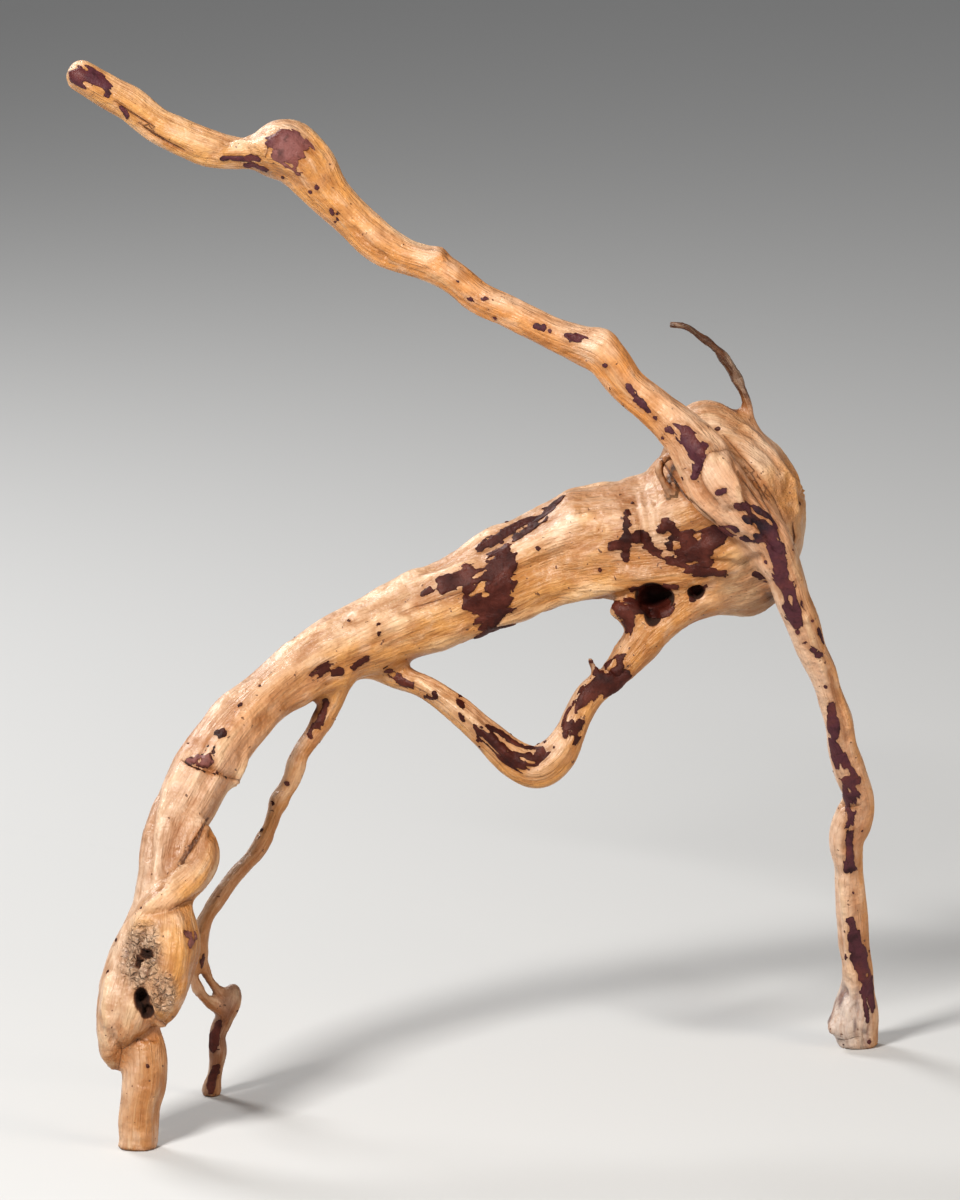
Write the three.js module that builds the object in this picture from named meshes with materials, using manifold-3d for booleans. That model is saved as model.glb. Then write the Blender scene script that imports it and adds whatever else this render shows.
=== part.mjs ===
// A piece of spiderwood root that stands on three of its own ends.
//
// Millimetres, +Z up, the floor at z = 0. The origin is the bottom centre of the box round the root,
// and -Y is the side with the arm and the leg in front of the crown.
//
// The whole root grew as one piece, so it is one solid. A thick trunk arches up from a twisted foot on the
// left to a crown on the right. One limb crosses in front of the crown: it is the long arm up to the left
// and the leg down to the right. A hook hangs below the trunk and joins the crown again, so it closes a
// loop. A thin root drops behind the trunk and splits round a slot before it reaches the floor.

import * as THREE from 'three';
import { mergeVertices } from 'three/addons/utils/BufferGeometryUtils.js';
import Module from 'manifold-3d';

const wasm = await Module();
wasm.setup();

// ---------------------------------------------------------------- driving dimensions, millimetres

// The limbs are laid out on a drawing board that leans back from the vertical by this angle. A station on
// a limb is [across, up, depth, width]: across and up lie on the board, depth goes straight back along +Y,
// and width is the limb's diameter there.
const BOARD_LEAN_DEG = 12;
const FLOOR_CUT = 80; // how far the block that trims the ends at the floor reaches down
const FLOOR_CUT_WIDTH = 1000;

// Low ridges run along each limb, as roots have, and a limb's width is measured over them. Depth is half of
// how far the dips between them sink, as a share of the radius, and the twist is how far they turn round the
// limb from end to end. The ridges make up most of the dips, and a slow sway to one side makes up the rest.
const RIDGE_SHARE = 0.7;
const RIDGES = {
  trunk: { count: 5, depth: 0.055, twist: 2.4 },
  limb: { count: 4, depth: 0.06, twist: 5.0 },
  thin: { count: 3, depth: 0.07, twist: 4.0 },
};

const TRUNK = [
  [135, 287, 45, 40],
  [123, 285, 45, 66],
  [108, 277, 45, 72],
  [93, 271, 45, 66],
  [78, 268, 45, 64],
  [60, 267, 44, 58],
  [48, 265, 44, 55],
  [33, 260, 43, 50],
  [12, 251, 41, 48],
  [-12, 240, 38, 43],
  [-36, 230, 33, 39],
  [-57, 220, 25, 36],
  [-78, 210, 15, 33],
  [-102, 193, -2, 30],
  [-119, 177, -18, 31],
  [-131, 161, -31, 32],
  [-140, 144, -43, 32],
  [-149, 126, -57, 27],
  [-153, 106, -68, 24],
  [-156, 92, -76, 22],
  [-161, 76, -83, 27],
  [-165, 60, -88, 31],
  [-169, 42, -93, 30],
  [-172, 29, -95, 21],
  [-174, 20, -96, 8],
];

const TRUNK_FOOT = [
  [-159, 54, -84, 18],
  [-161, 38, -90, 19],
  [-160, 24, -95, 21],
  [-160, 10, -98, 21],
  [-162, -2, -100, 19],
  [-164, -40, -102, 20],
];

const SHOULDER = [
  [-134, 132, -62, 8],
  [-133, 125, -66, 14],
  [-133, 117, -71, 18],
  [-138, 108, -78, 19],
  [-146, 100, -84, 20],
  [-154, 92, -88, 20],
  [-160, 84, -90, 16],
];

const BULGE = [
  [-146, 100, -82, 14],
  [-147, 88, -88, 24],
  [-147, 74, -94, 29],
  [-149, 60, -98, 28],
  [-151, 48, -100, 18],
  [-152, 39, -101, 6],
];

// From the arm's tip on the left, over the front of the crown, to the foot of the leg on the right.
const ARM_AND_LEG = [
  [-192, 492, 74, 15],
  [-180, 485, 73, 16],
  [-168, 478, 72, 16.5],
  [-156, 469, 70, 17],
  [-144, 463, 68, 17.5],
  [-132, 458, 66, 18],
  [-120, 455, 63, 16.5],
  [-108, 455, 61, 18],
  [-96, 455, 58, 27],
  [-86, 451, 55, 27],
  [-73, 435, 52, 20.5],
  [-60, 422, 49, 18.5],
  [-49, 412, 46, 19],
  [-36, 405, 43, 17],
  [-24, 401, 40, 17],
  [-12, 394, 37, 16],
  [-1, 385, 35, 15.5],
  [12, 379, 32, 15.5],
  [24, 373, 29, 15.5],
  [36, 367, 26, 16],
  [48, 362, 23, 18.5],
  [59, 357, 20, 20],
  [71, 342, 18, 19],
  [82, 333, 15, 19],
  [94, 322, 12, 21.5],
  [105, 309, 9, 26],
  [114, 295, 6, 28],
  [124, 284, 8, 26],
  [133, 276, 11, 23],
  [141, 264, 13, 21.5],
  [147, 252, 16, 18.5],
  [151, 240, 19, 18],
  [156, 228, 24, 17.5],
  [160, 216, 28, 16],
  [166, 204, 34, 15],
  [170, 192, 40, 14.5],
  [174, 180, 45, 15],
  [176, 168, 51, 15.5],
  [180, 156, 56, 17],
  [184, 144, 62, 17],
  [182, 132, 68, 19.5],
  [179, 123, 71, 18],
  [180, 108, 77, 15],
  [181, 96, 81, 15.5],
  [182, 84, 86, 16],
  [183, 72, 89, 16],
  [185, 60, 93, 16],
  [185, 48, 97, 17],
  [184, 36, 99, 23],
  [185, 26, 100, 21],
  [187, 16, 101, 16],
  [188, 6, 102, 12],
];

const HOOK = [
  [-55, 212, 30, 12],
  [-42, 203, 26, 10],
  [-27, 198, 20, 11.5],
  [-12, 188, 14, 13.5],
  [3, 175, 9, 15],
  [18, 162, 5, 17.5],
  [28, 159, 4, 20],
  [37, 165, 5, 18.5],
  [43, 175, 8, 15],
  [47, 184, 11, 14],
  [53, 194, 15, 15],
  [64, 203, 19, 15],
  [73, 214, 22, 18],
  [83, 226, 26, 22],
  [96, 237, 30, 23],
  [114, 248, 35, 24],
  [128, 257, 39, 18],
];

const CROWN = [
  [107, 326, 42, 20],
  [110, 318, 43, 38],
  [113, 306, 44, 54],
  [119, 289, 45, 64],
  [126, 271, 44, 62],
  [128, 257, 42, 50],
  [128, 248, 41, 30],
];

const THIN_ROOT = [
  [-66, 206, 12, 13],
  [-72, 190, 12, 11],
  [-79, 177, 10, 10],
  [-87, 165, 7, 8.6],
  [-91, 153, 5, 8.6],
  [-97, 143, 3, 8.6],
  [-102, 129, 0, 7.5],
  [-108, 118, -3, 8],
  [-117, 108, -7, 8],
  [-126, 96, -12, 8],
  [-133, 84, -16, 8],
  [-136, 71, -18, 9],
  [-137, 64, -18, 7],
];

const THIN_ROOT_LEFT_STRAND = [
  [-136, 70, -18, 6],
  [-138, 62, -18, 5.5],
  [-137, 55, -16, 5],
  [-133, 48, -12, 5],
  [-128, 44, -8, 6],
  [-124, 41, -6, 6],
];

const THIN_ROOT_RIGHT_STRAND = [
  [-136, 72, -17, 6],
  [-133, 63, -14, 5.5],
  [-130, 56, -10, 5],
  [-126, 51, -7, 6],
  [-121, 47, -5, 7],
];

const THIN_ROOT_FOOT = [
  [-119, 51, -5, 6],
  [-120, 46, -5, 10],
  [-123, 39, -4, 9.5],
  [-127, 30, -2, 9.5],
  [-127, 21, -1, 10],
  [-128, 12, 0, 8.5],
  [-130, 2, 0, 9.5],
  [-131, -14, 0, 10],
];

const TWIG = [
  [133, 316, 46, 8],
  [130, 326, 47, 5.6],
  [129, 334, 47, 5],
  [126, 342, 46, 4.6],
  [121, 351, 44, 4.3],
  [114, 360, 42, 4],
  [105, 367, 40, 3.8],
  [99, 371, 39, 3.4],
  [92, 372, 39, 2.8],
];

const CURLED_STUB = [
  [108, 305, 16, 8],
  [99, 308, 20, 6],
  [91, 309, 19, 5.5],
  [86, 303, 17, 4.6],
  [88, 297, 17, 4.4],
  [91, 292, 18, 4.6],
];

const SPIKE = [
  [57, 199, 17, 6],
  [55, 206, 15, 3.4],
  [53, 211, 14, 1.6],
];

// Knots and swellings: where, and half the size [across, back, up].
const KNUCKLE = { at: [112, 298, 4], half: [12, 11, 14] };
const CROWN_FLANGE = { at: [110, 322, 38], half: [11, 14, 6] };
const CROWN_KNOB = { at: [150, 271, 32], half: [6, 8, 6.5] };
const ARM_SWELLING = { at: [-93, 457, 56], half: [13, 13, 14] };
const ARM_KNOT = { at: [-20, 405, 38], half: [4.5, 7, 4.5] };
const ARM_PLATE = { at: [58, 363, 20], half: [6.5, 7, 5.5] };
const TRUNK_STEP = { at: [45, 286, 40], half: [9, 12, 8] };
const TRUNK_COLLAR = { at: [-122, 161, -24], half: [6, 8, 9] };
const CROTCH_BARK = { at: [71, 234, 24], half: [9, 9, 7] };
const FOOT_LOBE = { at: [178, 34, 97], half: [9, 8, 6] };

// Hollows cut into the wood, given the same way.
const CROTCH_HOLLOW = { at: [85, 239, 14], half: [11, 14, 8] };
const SMALL_HOLLOW = { at: [105, 242, 20], half: [4, 9, 4] };
const FOOT_HOLE = { at: [-159, 46, -112], half: [4, 13, 8] };

// How finely each limb is faceted: its sides round it, and the distance from one ring to the next.
const LIMBS = [
  { stations: TRUNK, ridges: RIDGES.trunk, sides: 20, ringSpacing: 10 },
  { stations: TRUNK_FOOT, ridges: RIDGES.limb, sides: 14, ringSpacing: 7 },
  { stations: SHOULDER, ridges: RIDGES.limb, sides: 12, ringSpacing: 6 },
  { stations: BULGE, ridges: RIDGES.limb, sides: 14, ringSpacing: 6 },
  { stations: ARM_AND_LEG, ridges: RIDGES.limb, sides: 10, ringSpacing: 8 },
  { stations: HOOK, ridges: RIDGES.limb, sides: 10, ringSpacing: 8 },
  { stations: THIN_ROOT, ridges: RIDGES.thin, sides: 8, ringSpacing: 8 },
  { stations: THIN_ROOT_LEFT_STRAND, ridges: RIDGES.thin, sides: 8, ringSpacing: 5 },
  { stations: THIN_ROOT_RIGHT_STRAND, ridges: RIDGES.thin, sides: 8, ringSpacing: 5 },
  { stations: THIN_ROOT_FOOT, ridges: RIDGES.thin, sides: 9, ringSpacing: 6 },
  { stations: TWIG, ridges: RIDGES.thin, sides: 7, ringSpacing: 6 },
  { stations: CURLED_STUB, ridges: RIDGES.thin, sides: 7, ringSpacing: 4 },
  { stations: SPIKE, ridges: RIDGES.thin, sides: 6, ringSpacing: 4 },
  { stations: CROWN, ridges: RIDGES.trunk, sides: 18, ringSpacing: 9 },
];
const LUMP_SIDES = 14;
const LUMP_RINGS = 10;

// ---------------------------------------------------------------- building blocks

const lean = THREE.MathUtils.degToRad(BOARD_LEAN_DEG);

function onBoard([across, up, depth]) {
  const z = (up - depth * Math.sin(lean)) / Math.cos(lean);
  return new THREE.Vector3(across, depth, z);
}

function solid(geometry) {
  geometry.deleteAttribute('normal');
  geometry.deleteAttribute('uv');
  const merged = mergeVertices(geometry);
  return new wasm.Manifold(new wasm.Mesh({
    numProp: 3,
    vertProperties: new Float32Array(merged.attributes.position.array),
    triVerts: new Uint32Array(merged.index.array),
  }));
}

// A closed cylinder whose rings are carried onto the smooth line through the stations. Their widths change as
// smoothly: they are read off a second line, on which x is the width.
function limb({ stations, ridges, sides, ringSpacing }) {
  const line = new THREE.CatmullRomCurve3(stations.map(onBoard));
  const widths = new THREE.CatmullRomCurve3(stations.map((station) => new THREE.Vector3(station[3], 0, 0)));
  widths.curveType = 'catmullrom';
  const rings = Math.ceil(line.getLength() / ringSpacing);
  const frames = line.computeFrenetFrames(rings);
  const geometry = new THREE.CylinderGeometry(1, 1, 1, sides, rings);
  const vertices = geometry.attributes.position;
  const point = new THREE.Vector3();
  for (let i = 0; i < vertices.count; i++) {
    point.fromBufferAttribute(vertices, i);
    const along = 0.5 - point.y;
    const ring = Math.round(along * rings);
    const angle = Math.atan2(point.z, point.x);
    const ridge = Math.cos(ridges.count * angle + ridges.twist * along);
    const sway = Math.cos(angle - 2 * ridges.twist * along);
    const swell = 1 - ridges.depth * (1 - RIDGE_SHARE * ridge - (1 - RIDGE_SHARE) * sway);
    const width = widths.getPoint(line.getUtoTmapping(along)).x;
    const reach = Math.hypot(point.x, point.z) * swell * width / 2;
    const centre = line.getPointAt(along);
    centre.addScaledVector(frames.normals[ring], reach * Math.cos(angle));
    centre.addScaledVector(frames.binormals[ring], reach * Math.sin(angle));
    vertices.setXYZ(i, centre.x, centre.y, centre.z);
  }
  return solid(geometry);
}

function lump({ at, half }) {
  const [across, back, up] = half;
  const geometry = new THREE.SphereGeometry(1, LUMP_SIDES, LUMP_RINGS);
  geometry.rotateX(Math.PI / 2);
  geometry.scale(across, back, up);
  const centre = onBoard(at);
  geometry.translate(centre.x, centre.y, centre.z);
  return solid(geometry);
}

// Everything that would reach below the floor, as one block.
function belowFloor() {
  const geometry = new THREE.BoxGeometry(FLOOR_CUT_WIDTH, FLOOR_CUT_WIDTH, FLOOR_CUT);
  geometry.translate(0, 0, -FLOOR_CUT / 2);
  return solid(geometry);
}

function toGeometry(body) {
  const mesh = body.getMesh();
  const geometry = new THREE.BufferGeometry();
  geometry.setAttribute('position', new THREE.BufferAttribute(new Float32Array(mesh.vertProperties), 3));
  geometry.setIndex(new THREE.BufferAttribute(new Uint32Array(mesh.triVerts), 1));
  geometry.computeVertexNormals();
  return geometry;
}

// ---------------------------------------------------------------- the root

function rootGeometry() {
  const grown = [
    ...LIMBS.map(limb),
    lump(KNUCKLE),
    lump(CROWN_FLANGE),
    lump(CROWN_KNOB),
    lump(ARM_SWELLING),
    lump(ARM_KNOT),
    lump(ARM_PLATE),
    lump(TRUNK_STEP),
    lump(TRUNK_COLLAR),
    lump(CROTCH_BARK),
    lump(FOOT_LOBE),
  ];
  const hollows = [lump(CROTCH_HOLLOW), lump(SMALL_HOLLOW), lump(FOOT_HOLE), belowFloor()];
  const whole = grown.reduce((joined, next) => joined.add(next));
  return toGeometry(hollows.reduce((left, hollow) => left.subtract(hollow), whole));
}

const wood = new THREE.MeshStandardMaterial({ color: 0xc79b67, roughness: 0.55, metalness: 0 });
const root = new THREE.Mesh(rootGeometry(), wood);
root.name = 'spiderwood_root';

const group = new THREE.Group();
group.add(root);

export default group;
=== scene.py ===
"""Spiderwood root: the fine surface, the finish, and the studio round it.

The root is one solid in the frame, and one fine piece replaces it here. The limbs are grown as a field
of distances from their centre lines, melted together, turned into a mesh, and given relief that runs
along each limb. Lengths are millimetres until a mesh is made.
"""

import math

import bpy
import numpy as np
import openvdb
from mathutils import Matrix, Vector
from mathutils.bvhtree import BVHTree


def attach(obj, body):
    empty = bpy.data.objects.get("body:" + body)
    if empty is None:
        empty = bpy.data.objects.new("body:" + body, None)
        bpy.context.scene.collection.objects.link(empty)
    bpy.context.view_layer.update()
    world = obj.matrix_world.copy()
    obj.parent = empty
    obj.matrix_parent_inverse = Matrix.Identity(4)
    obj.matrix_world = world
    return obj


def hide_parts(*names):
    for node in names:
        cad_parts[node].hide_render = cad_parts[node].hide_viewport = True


NODE = "spiderwood_root"
BODY = "root"
MM = 0.001

# ------------------------------------------------------------------ the limbs

# The limbs are laid out on a drawing board that leans back from the vertical. A station on a limb is
# [across, up, depth, width]: across and up lie on the board, depth goes straight back along +Y.
# They are the solid's own stations, with a twig and a spike that are a little thicker, a trunk's foot
# that is a little narrower, and the snag, which the solid doesn't have.
BOARD_LEAN = math.radians(12)

TRUNK = [
    [135, 287, 45, 40], [123, 285, 45, 66], [108, 277, 45, 72], [93, 271, 45, 66],
    [78, 268, 45, 64], [60, 267, 44, 58], [48, 265, 44, 55], [33, 260, 43, 50], [12, 251, 41, 48],
    [-12, 240, 38, 43], [-36, 230, 33, 39], [-57, 220, 25, 36], [-78, 210, 15, 33],
    [-102, 193, -2, 30], [-119, 177, -18, 31], [-131, 161, -31, 32], [-140, 144, -43, 32],
    [-149, 126, -57, 27], [-153, 106, -68, 24], [-156, 92, -76, 22], [-161, 76, -83, 27],
    [-165, 60, -88, 31], [-169, 42, -93, 30], [-172, 29, -95, 21], [-174, 20, -96, 8],
]
TRUNK_FOOT = [
    [-159, 54, -84, 18], [-162, 38, -90, 17.5], [-160, 24, -95, 21], [-160, 10, -98, 21],
    [-162, -2, -100, 19], [-164, -40, -102, 20],
]
SHOULDER = [
    [-134, 132, -62, 8], [-133, 125, -66, 14], [-133, 117, -71, 18], [-138, 108, -78, 19],
    [-146, 100, -84, 20], [-154, 92, -88, 20], [-160, 84, -90, 16],
]
BULGE = [
    [-146, 100, -82, 14], [-147, 88, -88, 24], [-147, 74, -94, 29], [-149, 60, -98, 28],
    [-151, 48, -100, 18], [-152, 39, -101, 6],
]
ARM_AND_LEG = [
    [-192, 492, 74, 15], [-180, 485, 73, 16], [-168, 478, 72, 16.5], [-156, 469, 70, 17],
    [-144, 463, 68, 17.5], [-132, 458, 66, 18], [-120, 455, 63, 16.5], [-108, 455, 61, 18],
    [-96, 455, 58, 27], [-86, 451, 55, 27], [-73, 435, 52, 20.5], [-60, 422, 49, 18.5],
    [-49, 412, 46, 19], [-36, 405, 43, 17], [-24, 401, 40, 17], [-12, 394, 37, 16],
    [-1, 385, 35, 15.5], [12, 379, 32, 15.5], [24, 373, 29, 15.5], [36, 367, 26, 16],
    [48, 362, 23, 18.5], [59, 357, 20, 20], [71, 342, 18, 19], [82, 333, 15, 19],
    [94, 322, 12, 21.5], [105, 309, 9, 26], [114, 295, 6, 28], [124, 284, 8, 26],
    [133, 276, 11, 23], [141, 264, 13, 21.5], [147, 252, 16, 18.5], [151, 240, 19, 18],
    [156, 228, 24, 17.5], [160, 216, 28, 16], [166, 204, 34, 15], [170, 192, 40, 14.5],
    [174, 180, 45, 15], [176, 168, 51, 15.5], [180, 156, 56, 17], [184, 144, 62, 17],
    [182, 132, 68, 19.5], [179, 123, 71, 18], [180, 108, 77, 15], [181, 96, 81, 15.5],
    [182, 84, 86, 16], [183, 72, 89, 16], [185, 60, 93, 16], [185, 48, 97, 17], [184, 36, 99, 23],
    [185, 26, 100, 21], [187, 16, 101, 16], [188, 6, 102, 12],
]
HOOK = [
    [-55, 212, 30, 12], [-42, 203, 26, 10], [-27, 198, 20, 11.5], [-12, 188, 14, 13.5],
    [3, 175, 9, 15], [18, 162, 5, 17.5], [28, 159, 4, 20], [37, 165, 5, 18.5], [43, 175, 8, 15],
    [47, 184, 11, 14], [53, 194, 15, 15], [64, 203, 19, 15], [73, 214, 22, 18], [83, 226, 26, 22],
    [96, 237, 30, 23], [114, 248, 35, 24], [128, 257, 39, 18],
]
CROWN = [
    [107, 326, 42, 20], [110, 318, 43, 38], [113, 306, 44, 54], [119, 289, 45, 64],
    [126, 271, 44, 62], [128, 257, 42, 50], [128, 248, 41, 30],
]
THIN_ROOT = [
    [-66, 206, 12, 13], [-72, 190, 12, 11], [-79, 177, 10, 10], [-87, 165, 7, 8.6],
    [-91, 153, 5, 8.6], [-97, 143, 3, 8.6], [-102, 129, 0, 7.5], [-108, 118, -3, 8],
    [-117, 108, -7, 8], [-126, 96, -12, 8], [-133, 84, -16, 8], [-136, 71, -18, 9],
    [-137, 64, -18, 7],
]
THIN_ROOT_LEFT_STRAND = [
    [-136, 70, -18, 6], [-138, 62, -18, 5.5], [-137, 55, -16, 5], [-133, 48, -12, 5],
    [-128, 44, -8, 6], [-124, 41, -6, 6],
]
THIN_ROOT_RIGHT_STRAND = [
    [-136, 72, -17, 6], [-133, 63, -14, 5.5], [-130, 56, -10, 5], [-126, 51, -7, 6],
    [-121, 47, -5, 7],
]
THIN_ROOT_FOOT = [
    [-119, 51, -5, 6], [-120, 46, -5, 10], [-123, 39, -4, 9.5], [-127, 30, -2, 9.5],
    [-127, 21, -1, 10], [-128, 12, 0, 8.5], [-130, 2, 0, 9.5], [-131, -14, 0, 10],
]
TWIG = [
    [133, 316, 46, 8], [130, 326, 47, 6.2], [129, 334, 47, 5.8], [126, 342, 46, 5.4],
    [121, 351, 44, 5.2], [114, 360, 42, 5], [105, 367, 40, 4.8], [99, 371, 39, 4.4],
    [92, 372, 39, 3.8],
]
CURLED_STUB = [
    [108, 305, 16, 8], [99, 308, 20, 6], [91, 309, 19, 5.5], [86, 303, 17, 4.6],
    [88, 297, 17, 4.4], [91, 292, 18, 4.6],
]
SNAG = [
    [-111, 168, -27, 2], [-112.5, 163, -31, 4.5], [-115.5, 156, -35, 5.5],
    [-118.5, 151, -36, 2.5],
]
SPIKE = [
    [57, 199, 17, 6], [55, 206, 15, 3.8], [53, 211, 14, 2.6],
]

# name: (stations, grain group, melt). The melt is how far the wood fills the corner where a limb joins.
LIMBS = {
    "trunk": (TRUNK, 0, 9),
    "crown": (CROWN, 2, 12),
    "arm_and_leg": (ARM_AND_LEG, 1, 3),
    "hook": (HOOK, 1, 9),
    "shoulder": (SHOULDER, 1, 3),
    "bulge": (BULGE, 2, 4),
    "trunk_foot": (TRUNK_FOOT, 1, 4),
    "thin_root": (THIN_ROOT, 1, 6),
    "left_strand": (THIN_ROOT_LEFT_STRAND, 0, 3),
    "right_strand": (THIN_ROOT_RIGHT_STRAND, 2, 3),
    "thin_root_foot": (THIN_ROOT_FOOT, 1, 3),
    "twig": (TWIG, 1, 4),
    "curled_stub": (CURLED_STUB, 0, 3),
    "spike": (SPIKE, 0, 3),
    "snag": (SNAG, 1, 1.5),
}

CROWN_MIDDLE = (112, 282, 40)  # the crown's grain sweeps round this point
CROWN_ARC = 34  # the millimetres along the crown's grain for each radian round it

# Knots and swellings: (where on the board, half the size [across, back, up], melt).
LUMPS = {
    "knuckle": ((113, 297, 5), (11.5, 12, 14), 9),
    "crown_flange": ((110, 322, 38), (11, 14, 6), 5),
    "crown_knob": ((150, 271, 32), (6, 8, 6.5), 4),
    "arm_swelling": ((-93, 457, 56), (13, 13, 14), 6),
    "arm_knot": ((-20, 405, 38), (4.5, 7, 4.5), 3),
    "arm_plate": ((58, 363, 20), (6.5, 7, 5.5), 4),
    "trunk_step": ((45, 286, 40), (9, 12, 8), 5),
    "trunk_collar": ((-122, 161, -24), (6, 8, 9), 4),
    "crotch_bark": ((71, 234, 24), (9, 9, 7), 5),
    "foot_lobe": ((178, 31.5, 97), (9, 8, 6), 4),
    "foot_knob": ((173.5, 29.5, 93), (3.6, 4, 3.4), 2.5),
}
HOLLOWS = {
    "crotch_hollow": ((84, 240, 15), (9, 17, 7), 2),
    "crotch_ear": ((83, 232, 14), (3.5, 12, 4.5), 1.5),
    "small_hollow": ((104, 243, 18), (3, 7, 3), 1.5),
    "foot_hole": ((-161, 49, -110), (3.6, 13, 5.5), 1),
    "foot_hole_low": ((-158.5, 43, -112), (3.4, 13, 4), 1),
    "scar_pit": ((-159.5, 71.5, -106), (3.4, 6, 2.2), 1),
    "scar_pit_low": ((-162.5, 68, -106), (1.8, 5, 3.6), 1),
}

# ------------------------------------------------------------------ bark and tones

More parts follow.
